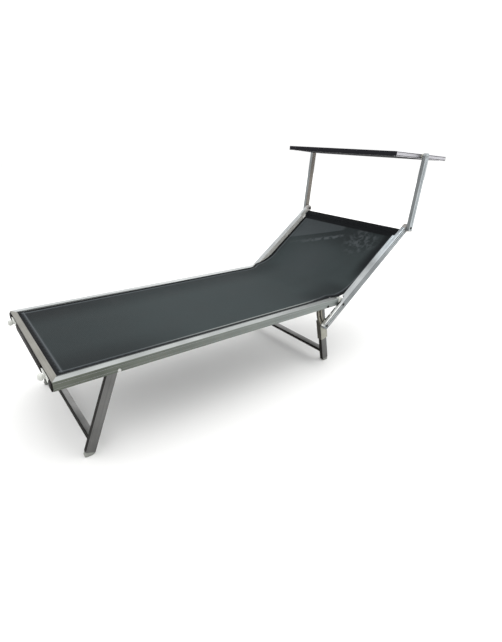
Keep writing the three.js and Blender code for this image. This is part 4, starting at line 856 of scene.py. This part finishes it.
# The crossbars' faces towards the foot end are painted shade in black.
for end, lean in LEG_LEANS.items():
    middle = (CROSSBAR_Z - LEG_PIVOT_Z) / math.cos(math.radians(lean))
    cross_tube(f"{end}_crossbar", 279.7, -15, 15, middle - 9, middle + 9, 4.0, f"{end}_legs",
               anodised_bar, "leg_tube", [(black_rubber_and_shade, is_foot_side)])
for end, middle in (("front", -210.5), ("rear", 213.5)):
    cross_tube(f"canopy_{end}_tube", 340.7, middle - 9, middle + 9, -9, 9, 3.5, "canopy",
               anodised_canopy)
print("tubes:", [name for name in pieces_made if "tube" in name or "crossbar" in name])

# %% [markdown]
# ## The backrest's rails
# A box with a narrower chamber beside it on the inner side. The keyhole channel for the piping
# lies at the back of that chamber, so that the cloth sits deep between the rails. The three slots
# near the lower end are cut through the front's inner corner, and a black buffer fills each of
# them. Dark paint on the rail would be simpler, but from the side it would not look set in.

# %% Back rails
BACK_FRONT, BACK_OUTER, BACK_BOX, BACK_DEPTH, BACK_MIDDLE = 11.2, 367.0, 20.0, 35.4, -6.5
BACK_LOW, BACK_HIGH, CHAMBER_WIDTH, CHAMBER_DROP = -136.5, 536.3, 12, 29.2
SLOT_STARTS, SLOT_LENGTH = (-119.1, -74.1, -29.1), 34


def rail_slots():
    """The three slots near a back rail's lower end."""
    return [pushed([rounded(start, start + SLOT_LENGTH, -353, -340, 1.9)], "z", BACK_FRONT - 9,
                   BACK_FRONT + 8) for start in SLOT_STARTS]


def rail_buffers():
    """The black buffers that fill the slots, level with the rail's faces."""
    outlines = [rounded(start + 0.2, start + SLOT_LENGTH - 0.2, -352.8, -346.9, 1.6)
                for start in SLOT_STARTS]
    return together(*[block(outline, "z", BACK_FRONT - 8.8, BACK_FRONT + 0.3, 0.5, 2)
                      for outline in outlines])


def back_rail():
    """The left back rail: its box with the slots, and the chamber with the piping channel."""
    w, h, far = BACK_BOX, BACK_DEPTH, BACK_BOX + CHAMBER_WIDTH
    grooves = [*groove(0, -11), *groove(0, -25)]
    box = [*rail_corners(w, h, 2.5, *grooves), *arc(w - 1.2, -1.2, 1.2, 0, 90, 4)]
    hollow = [(WALL, -h + WALL), (w - WALL, -h + WALL), (w - WALL, -WALL), (WALL, -WALL)]
    rail = pushed(shifted([box, hollow], -BACK_OUTER, BACK_FRONT), "x", BACK_LOW, BACK_HIGH)
    chamber = [(w - 1, -h + 0.1), *arc(far - 1.6, -h + 1.7, 1.6, 270, 360, 4),
               *keyhole(far, CHAMBER_DROP), (far, -14.2), (far - 0.9, -13.4), (far - 0.9, -11.6),
               (far, -10.8), *arc(far - 1.4, -2.0, 1.4, 0, 90, 4), (w + 1.6, -0.6),
               (w + 0.4, -1.9), (w - 1, -1.9)]
    space = [(w + WALL, -24), (far - WALL - 0.9, -24), (far - WALL - 0.9, -WALL - 2),
             (w + WALL, -WALL - 2)]
    beside = pushed(shifted([chamber, space], -BACK_OUTER, BACK_FRONT), "x", 37, 472)
    return together(cut_away(rail, *rail_slots()), beside)


# Painted shade on the outer sides, painted light on the inner sides and on the left front.
pair("back_rail_look", back_rail, "backrest", anodised_back, "rail", ["back_rail"],
     others=[(back_side_shade, is_outer), (back_inner_light, is_inner), (left_front_light, is_left_front)])
pair("back_rail_buffers", rail_buffers, "backrest", black_rubber_and_shade, "plastic")
print("back rail faces:", pieces_made["back_rail_look_left"])

# %% [markdown]
# ## Legs and feet
# The legs are flat tubes with round tops, and rubber caps close their lower ends. Both are their
# side outline pushed across, with the rims rounded over. A foot cap is drawn flat on the ground
# between two round edges, because a leaning leg would otherwise stand on a line.

# %% Legs and feet
FOOT_HEIGHT, FOOT_HALF, SOLE_HALF, SOLE_RISE = 9.0, 17.0, 7.0, 8.5
LEG_HALF, LEG_OUTER, LEG_INNER = 18, -300, -280


def foot_top(lean):
    """Where a leg's tube ends and its foot cap starts, measured from the pivot."""
    slant = math.radians(abs(lean))
    return -LEG_PIVOT_Z / math.cos(slant) + FOOT_HEIGHT + math.tan(slant) * LEG_HALF


def leg(lean):
    """The left leg with its round top, down to its foot cap."""
    low = foot_top(lean)
    return block([(-LEG_HALF, low), (LEG_HALF, low), *arc(0, 0, LEG_HALF, 0, 180, 28)], "y",
                 LEG_OUTER, LEG_INNER, 3.0, 4)


def foot_cap(lean):
    """The left foot cap: round at both edges of its sole and flat on the ground between them."""
    slope = math.tan(math.radians(lean))
    reach = -LEG_PIVOT_Z / math.cos(math.radians(lean))
    top = foot_top(lean) - GAP
    sole = []
    for side, edge in ((-SOLE_HALF, range(-90, 1, 15)), (SOLE_HALF, range(0, 91, 15))):
        for t in edge:
            turn = math.radians(t)
            at = side + (FOOT_HALF - SOLE_HALF) * math.sin(turn)
            sole.append((at, reach + at * slope + SOLE_RISE * (1 - math.cos(turn))))
    return block([(-FOOT_HALF, top), *sole, (FOOT_HALF, top)], "y", LEG_OUTER + 1, LEG_INNER - 1,
                 1.2)


# The legs' faces towards the foot end are painted shade in black.
for end, lean in LEG_LEANS.items():
    pair(f"{end}_leg_look", lambda: leg(lean), f"{end}_legs", anodised_leg, "leg_tube",
         [f"{end}_leg"], along=2, others=[(black_rubber_and_shade, is_foot_side)])
    pair(f"{end}_foot_look", lambda: foot_cap(lean), f"{end}_legs", grey_rubber, "plastic",
         [f"{end}_foot"])
print("legs:", [name for name in pieces_made if "leg" in name or "foot_look" in name])

# %% [markdown]
# ## Arms and the back rails' ends
# The canopy's arms are flat tubes too, with a closed round tip, a shallow groove along the outer
# face and a flat cap underneath. The back rails end in half-round pieces of the same thickness.

# %% Arms and end pieces
ARM_OUTER, ARM_INNER, ARM_HALF = -387, -369, 15


def canopy_arm():
    """The left canopy arm, with its groove cut into the outer face."""
    length = (joint_place["canopy_tilt"] - joint_place["canopy_arm_swing"]).length / MM
    flat_tube = block([(-ARM_HALF, -13), (ARM_HALF, -13), *arc(0, length, ARM_HALF, 0, 180, 24)],
                      "y", ARM_OUTER, ARM_INNER, 2.6, 4)
    slot = pushed([rounded(-1.4, 1.4, 24, length - 24, 1.3)], "y", ARM_OUTER - 2, ARM_OUTER + 1.4)
    return cut_away(flat_tube, slot)


def back_end(outline):
    """A piece as thick as a back rail's box, with rounded rims."""
    return block(outline, "y", -BACK_OUTER, -BACK_OUTER + BACK_BOX, 2.2, 4)


def top_cap():
    """The left back rail's round top."""
    rear = BACK_FRONT - BACK_DEPTH
    round_top = arc(554, BACK_MIDDLE, BACK_DEPTH / 2, -90, 90, 24)[1:]
    low = BACK_HIGH + GAP
    return back_end([(low, rear), (554, rear), *round_top, (low, BACK_FRONT)])


def bottom_cap():
    """The left back rail's round lower end."""
    return back_end(arc(BACK_LOW - GAP, BACK_MIDDLE, BACK_DEPTH / 2, 90, 270, 24))


def arm_foot():
    """The flat cap under the left arm."""
    return block(rounded(-17, 17, -388, -368, 3.0), "z", -17.3, -13.3, 0.9)


# Painted light on the arms' outer sides, and a browner tone on their inner sides.
pair("canopy_arm_look", canopy_arm, "canopy_arms", anodised_arm, "rail", ["canopy_arm"], along=2,
     others=[(arm_outer_light, is_outer), (arm_inner_tone, is_inner)])
pair("back_top_cap_look", top_cap, "backrest", grey_cap, "plastic", ["back_top_cap"])
# The bottom ends get the same painted shade on their outer sides and painted light on the left
# front.
pair("back_bottom_cap_look", bottom_cap, "backrest", anodised_back, "plastic",
     ["back_bottom_cap"], others=[(back_side_shade, is_outer), (left_front_light, is_left_front)])
pair("arm_foot_cap_look", arm_foot, "canopy_arms", grey_cap, "plastic", ["arm_foot_cap"])
print("arms and ends:", [name for name in pieces_made if "arm" in name or "cap" in name])

# %% [markdown]
# ## The canopy's frame
# Two slim side rails join the front and rear tubes. The two grooves along each rail's outer face
# are painted black inside, as painted shade. The rear ends are closed by flat caps.

# %% Canopy rails
CANOPY_OUTER, CANOPY_INNER, CANOPY_EDGE = 361, 341, 10.5
GROOVE_Z, GROOVE_WIDTH = 7.4, 2.6


def canopy_outline(radius):
    """A canopy rail's outline: y and z in the canopy's frame."""
    return rounded(-CANOPY_OUTER, -CANOPY_INNER, -CANOPY_EDGE, CANOPY_EDGE, radius)


def canopy_rail():
    """The left canopy rail: a thin tube with a groove near each edge of its outer face."""
    outline = canopy_outline(1.6)
    middle = len(outline) * 3 // 4
    grooves = [point for z in (GROOVE_Z, -GROOVE_Z)
               for point in groove(-CANOPY_OUTER, z, 1.4, GROOVE_WIDTH)]
    hollow = rounded(-359, -342.5, -9, 9, 1.0, 4)
    return pushed([[*outline[:middle], *grooves, *outline[middle:]], hollow], "x", -219.5, 219.7)


def is_groove(face):
    """The faces in the canopy rails' grooves."""
    in_height = abs(abs(face.center.z) - GROOVE_Z) < GROOVE_WIDTH / 2
    return in_height and CANOPY_OUTER - 1.7 < abs(face.center.y) < CANOPY_OUTER - 0.02


def canopy_cap():
    """The left canopy rail's rear cap."""
    return block(canopy_outline(3.5), "x", 220, 224, 1.2)


# The grooves' faces are painted shade in black.
pair("canopy_side_rail_look", canopy_rail, "canopy", anodised_canopy, "rail",
     ["canopy_side_rail"], others=[(black_rubber_and_shade, is_groove)])
pair("canopy_rear_cap_look", canopy_cap, "canopy", polypropylene, "plastic", ["canopy_rear_cap"])
print("canopy rail faces:", pieces_made["canopy_side_rail_look_left"])

# %% [markdown]
# ## Moulded parts with awkward shapes
# The racks, sleeves, bumpers and the caps over the seat rails' ends are closest to their solids
# already. A copy of the solid is merged, cleaned and bevelled, which gives it the soft edges of a
# moulding. The racks' and sleeves' faces towards the foot end are in shade, and that shade is
# painted into them as a darker nylon. The keys inside the mitred corners can't be seen and only
# get their material.

# %% Softened copies
def softened(node, name, body, finish, slot, width, others):
    """A copy of a solid with rounded edges."""
    shape = bmesh.new()
    shape.from_mesh(frame["nodes"][node].data)
    bmesh.ops.remove_doubles(shape, verts=shape.verts, dist=1e-5)
    bmesh.ops.dissolve_limit(shape, angle_limit=math.radians(2), verts=shape.verts,
                             edges=shape.edges)
    eased(shape, width * MM, 3, 35)
    bmesh.ops.scale(shape, vec=(1 / MM, 1 / MM, 1 / MM), verts=shape.verts)
    put(name, shape, body, finish, slot, [node], others=others, place=Matrix.Scale(MM, 4))


# Painted shade on the faces towards the foot end.
shaded = [(shaded_nylon, is_foot_side)]
for side in SIDES:
    for name, body, finish, slot, width, others in (
            ("recline_rack", "seat_frame", rack_nylon, "nylon", 0.8, shaded),
            ("seat_rail_cap", "seat_frame", polypropylene, "plastic", 0.5, ()),
            ("end_bumper", "seat_frame", polypropylene, "plastic", 0.6, ()),
            ("leg_sleeve", "rear_legs", nylon, "nylon", 1.2, shaded)):
        softened(f"{name}_{side}", f"{name}_look_{side}", body, finish, slot, width, others)
    key_materials = frame["nodes"][f"corner_key_{side}"].data.materials
    key_materials.clear()
    key_materials.append(polypropylene)
print("softened:", [name for name in pieces_made if "rack" in name or "sleeve" in name])

# %% [markdown]
# ## Bolts, rivets and washers
# All of them are turned parts, so their profile is turned about its own axis with enough sides to
# look round. A profile lists each radius with its place along the axis, from outside to inside.

# %% Bolts and rivets
def bolt(outside, inside, x=0, z=0):
    """A domed bolt with its nut: the head, with a recess for the key, is at the smaller y."""
    return turned([(0, outside - 1.3), (2.6, outside - 1.4), (3.1, outside - 2.5),
                   (4.4, outside - 2.1), (6.2, outside - 1.2), (7, outside - 0.3), (6.9, outside),
                   (4, outside), (4, inside), (6.5, inside), (6.5, inside + 4.6),
                   (6.1, inside + 5), (0, inside + 5)], "y", (x, z))


def leg_rivet(x):
    """A shouldered rivet through the rail and the leg."""
    outer, inner = -SEAT_HALF - GAP, LEG_INNER + GAP
    return turned([(0, outer - 3.4), (3.6, outer - 3.2), (5.6, outer - 2.0), (6.6, outer),
                   (4, outer), (4, -308.7), (8, -308.7), (8, -300.3), (4, -300.3), (4, inner),
                   (6, inner), (5.6, inner + 2), (3, inner + 2.6), (0, inner + 2.6)],
                  "y", (x, LEG_PIVOT_Z))


def recline_pin():
    """The left pin that runs in the rack, with a flat head outside the rail."""
    return turned([(0, -369.9), (4.2, -369.8), (6.3, -368.6), (7, -367.3), (4, -367.3),
                   (4, -330.7), (0, -330.7)], "y", (BACK_LOW - GAP, BACK_MIDDLE))


def tilt_washer():
    """The nylon washer between the left arm and the canopy's rail."""
    return turned([(4.3, -368.7), (12.4, -368.7), (13, -368.1), (13, -361.9), (12.4, -361.3),
                   (4.3, -361.3), (4.3, -368.7)], "y", (0, 0))


for name, draw, body, finish in (
        ("hinge_bolt", lambda: bolt(-BACK_OUTER - GAP, -307.4, PIVOT_X, PIVOT_Z), "seat_frame",
         blackened_steel),
        ("front_leg_rivet", lambda: leg_rivet(210), "seat_frame", rivet_metal),
        ("rear_leg_rivet", lambda: leg_rivet(1250), "seat_frame", blackened_steel),
        ("arm_bolt", lambda: bolt(ARM_OUTER - GAP, -346.7), "canopy_arms", blackened_steel),
        ("tilt_bolt", lambda: bolt(ARM_OUTER - GAP, -340.7), "canopy", zinc_steel),
        ("recline_pin", recline_pin, "backrest", blackened_steel),
        ("tilt_washer", tilt_washer, "canopy", nylon)):
    pair(f"{name}_look", draw, body, finish, "steel", [name])
print("turned parts:", [name for name in pieces_made if "bolt" in name or "rivet" in name])

# %% [markdown]
# ## The sling
# One sheet runs from the foot rail over the seat, bends up behind the sitter and goes up the
# backrest, where its end wraps the top tube in a wide hem. It is drawn as one grid that follows
# that path, with lines close together at the hems, where the cloth is double and its fold makes a
# small ridge. A cloth simulation isn't needed, because the rails hold the sheet taut.

# %% The sling's path
BEND_START, BEND_END = 1215.0, 165.0
BACK_START = 175
back_turn = math.radians(RECLINE)


def on_back(x, z):
    """A point of the backrest's frame as (x, z) in the seat's."""
    return np.array([PIVOT_X + x * math.cos(back_turn) - z * math.sin(back_turn),
                     PIVOT_Z + x * math.sin(back_turn) + z * math.cos(back_turn)])


def lengths_along(path):
    """How far along a path each of its points lies."""
    return np.concatenate([[0], np.cumsum(np.linalg.norm(np.diff(path, axis=0), axis=1))])


cloth_z = SEAT_TOP - SLOT_DROP
cloth_back = BACK_FRONT - CHAMBER_DROP
bend_from = np.array([BEND_START, cloth_z])
bend_to = on_back(BEND_END, cloth_back)
bend_over = np.array([bend_to[0] - (bend_to[1] - cloth_z) / math.tan(back_turn), cloth_z])
foot_rows = [17.5, 20, 24, 29, 33, 35.2, 37, 38.8, 40.4, 42, 43.6, 45.2, 47, 50, 55, 63, 76]
back_rows = [BACK_START, 187, 200, *range(215, 455, 20), 455, 464, 472, 478, 482, 486, 492]
hem_round = [(500, -16.5), (503.5, -14.6), (506.5, -11.4), (510, -9.3), (514, -8.7), (532, -8.7),
             (536.6, -9.6), (539.6, -12.4), (540.5, -16.4), (540.2, -20.6), (538, -24.2),
             (534, -25.6), (513, -25.6), (508.4, -24.4), (505.4, -21.8), (502, -19.4),
             (497, -18.6)]

path = [np.array([x, cloth_z]) for x in [*foot_rows, *range(95, 1200, 24), 1205]]
bend_row = len(path)
path += [(1 - t) ** 2 * bend_from + 2 * t * (1 - t) * bend_over + t * t * bend_to
         for t in np.linspace(0, 1, 25)]
back_row = len(path)
path += [on_back(x, cloth_back) for x in back_rows]
top_row = len(path) - 4
path = np.array(path + [on_back(x, z) for x, z in hem_round])
length = lengths_along(path)
print("sling length:", round(length[-1]), "mm in", len(path), "rows")

# %% The sling's width and sag
SEAT_CLOTH_HALF, SAG = 313, 3.0
FROM_EDGE = [0, 2.5, 5, 9, 14, 17, 18.6, 19.6, 20.6, 22, 23.4, 24.7, 26, 27.3, 28.6, 30.5, 33, 38,
             48, 68, 98, 138, 186, 240]


def smooth(value, low, high):
    """A soft step from 0 to 1 between two values."""
    t = np.clip((value - low) / (high - low), 0, 1)
    return t * t * (3 - 2 * t)


def share_between(first, last):
    """How far each row lies from one row to another, from 0 to 1."""
    return np.clip((length - length[first]) / (length[last] - length[first]), 0, 1)


bend_share = share_between(bend_row, back_row - 1)
back_length = length - length[back_row]
half_width = (SEAT_CLOTH_HALF - 4.7 * smooth(path[:, 0], 1190, 1214)
              + 26.4 * smooth(bend_share, 0.27, 0.46) + 4.5 * smooth(back_length, -10, 30))
sag = SAG * (np.sin(math.pi * share_between(0, bend_row))
             + np.sin(math.pi * share_between(back_row, top_row)))
over_rail = 2.5 * smooth(bend_share, 0.1, 0.3) * (1 - smooth(bend_share, 0.45, 0.65))

left_half = np.array(FROM_EDGE)[None, :] - half_width[:, None]
rows = np.concatenate([left_half, np.zeros((len(path), 1)), -left_half[:, ::-1]], axis=1)
print("sling width:", round(2 * half_width.min()), "to", round(2 * half_width.max()), "mm")

# %% [markdown]
# ## The sling's hems
# Along its sides and at the foot the cloth is folded over and sewn, so it is thicker there and the
# fold's inner edge stands up a little. Separate strips could lie on the sheet, but they would show
# a gap or flicker where they touch it. So the grid itself rises at the hems, and each point keeps
# how much of a hem, a ridge or a stitch it is, which the weave reads.

# %% The sling's hems
FOLD_AT, SEAM_AT, FOLD_RISE, HEM_RISE, EDGE_RISE = 26, 19.6, 1.8, 0.9, 3.4


def ridge(distance):
    """The fold's inner edge, where the cloth stands up in a soft ridge."""
    return np.exp(-((distance - FOLD_AT) / 3.6) ** 2)


def seam(distance):
    """The row of stitches that holds the fold."""
    return np.exp(-((distance - SEAM_AT) / 0.9) ** 2)


def hem_height(distance):
    """How far the doubled hem stands over the single cloth at a distance from its edge."""
    return (HEM_RISE * smooth(distance, 2, 7) + FOLD_RISE * ridge(distance)
            - HEM_RISE * smooth(distance, 26, 30))


tangent = np.gradient(path, axis=0)
tangent /= np.linalg.norm(tangent, axis=1)[:, None]
normal = np.stack([-tangent[:, 1], tangent[:, 0]], axis=1)
points = []
marked = {"hem": [], "ridge": [], "stitch": [], "up_back": []}
for i, line in enumerate(rows):
    foot = length[i] + 1.0
    at_top = smooth(length[i] - length[top_row], 0, 3)
    for y in line:
        edge = half_width[i] - abs(y)
        nearest = min(edge, foot)
        marked["hem"].append(max(1 - smooth(edge, 25, 28), 1 - smooth(foot, 25, 28), at_top))
        marked["ridge"].append(max(ridge(edge), ridge(foot)) * (1 - at_top) * (nearest > 18))
        marked["stitch"].append(max(seam(edge), seam(foot)) * (1 - at_top) * (nearest > 16))
        marked["up_back"].append((BACK_START + back_length[i]) * MM)
        lift = max(hem_height(edge), hem_height(foot)) * (1 - at_top)
        lift += EDGE_RISE * math.exp(-(max(edge, foot) / 26) ** 2) + over_rail[i]
        dip = sag[i] * math.sin(math.pi * (y / half_width[i] + 1) / 2)
        at = path[i] + normal[i] * (lift - dip)
        points.append((at[0], y, at[1]))
print("sling points:", len(points))

# %% The sling's mesh
def cloth_grid(name, points, lengths, rows, marks, drawn_on, finish, thickness):
    """A sheet of cloth from a grid of points in millimetres in the frame of a body, with its
    marks and its texture coordinates in metres, thickened to both sides."""
    count = rows.shape[1]
    faces = [(a, a + 1, a + count + 1, a + count) for i in range(len(rows) - 1)
             for a in range(i * count, (i + 1) * count - 1)]
    mesh = bpy.data.meshes.new(name)
    mesh.from_pydata(points, [], faces)
    for title, values in marks.items():
        layer = mesh.attributes.new(title, "FLOAT", "POINT")
        layer.data.foreach_set("value", np.array(values, np.float32))
    grid = mesh.uv_layers.new(name="metres")
    for loop in mesh.loops:
        row, column = divmod(loop.vertex_index, count)
        grid.data[loop.index].uv = (lengths[row] * MM, rows[row][column] * MM)
    mesh.transform(PLACES[drawn_on])
    mesh.shade_smooth()
    mesh.materials.append(finish)
    made = add_object(name, mesh)
    thick = made.modifiers.new("cloth", "SOLIDIFY")
    thick.thickness, thick.offset = thickness * MM, 0
    made.data = bpy.data.meshes.new_from_object(evaluated(made))
    made.modifiers.clear()
    return made


sling = cloth_grid("sling", points, length, rows, marked, "seat_frame", mesh_weave, 1.0)
print("sling faces:", len(sling.data.polygons))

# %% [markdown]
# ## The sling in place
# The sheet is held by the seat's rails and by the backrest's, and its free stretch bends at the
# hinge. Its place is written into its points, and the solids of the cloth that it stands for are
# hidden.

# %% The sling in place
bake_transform(sling)
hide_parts("seat_fabric", "hinge_fabric", "back_fabric")

# %% [markdown]
# ## The canopy's cloth
# One strip of black cloth is sewn into a sleeve round each tube and hangs between them with a
# slight sag. It is drawn as one line seen from the side, up and over each tube, and pushed across
# the lounger. A flap of the same cloth covers the rails' front ends.

# %% The canopy cloth's path
CANOPY_SAG, CANOPY_HALF, SLEEVE_HALF = 5.0, 340.4, 9.8


def sleeve(middle, first, last):
    """Points round a sleeve about a tube, between two angles in degrees from straight down."""
    points = []
    for angle in np.linspace(first, last, 40):
        u, v = math.sin(math.radians(angle)), -math.cos(math.radians(angle))
        reach = SLEEVE_HALF / (abs(u) ** 6 + abs(v) ** 6) ** (1 / 6)
        points.append((middle + u * reach, v * reach))
    return points


front_sleeve = [(-188.0, -11.0), (-196.0, -10.5), *sleeve(-210.5, 30, -285)]
hanging = [(-196 + 395 * t, -9.4 - CANOPY_SAG * math.sin(math.pi * t))
           for t in np.linspace(0, 1, 27)]
rear_sleeve = [*sleeve(213.5, 285, -30), (199.0, -10.5), (191.0, -11.0)]
canopy_path = np.array([*front_sleeve, (-200.4, -6.5), (-199.6, -8.4), *hanging, (202.6, -8.4),
                        (203.4, -6.5), *rear_sleeve])
canopy_length = lengths_along(canopy_path)
print("canopy strip:", round(canopy_length[-1]), "mm long")

# %% Canopy cloth and flap
left_lines = [d - CANOPY_HALF for d in (0, 3, 8, 14, 19, 21, 24, 40, 90, 160, 250)]
lines = np.array([*left_lines, 0.0, *[-y for y in reversed(left_lines)]])
points = [(x, y, z) for x, z in canopy_path for y in lines]
side_hems = np.tile(1 - smooth(CANOPY_HALF - np.abs(lines), 18, 20), len(canopy_path))
canopy_cloth = cloth_grid("canopy_cloth", points, canopy_length,
                          np.tile(lines, (len(canopy_path), 1)), {"hem": side_hems}, "canopy",
                          canopy_weave, 0.8)
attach(canopy_cloth, "canopy")
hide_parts("canopy_fabric")
flap_outline = rounded(-CANOPY_OUTER, CANOPY_OUTER, -10.4, 10.4, 2.0, 4)
flap = put("canopy_front_flap", block(flap_outline, "x", -221, -220.3, 0.25, 2), "canopy",
           canopy_weave, "canopy_cloth", along=1)
print("canopy cloth faces:", len(canopy_cloth.data.polygons))
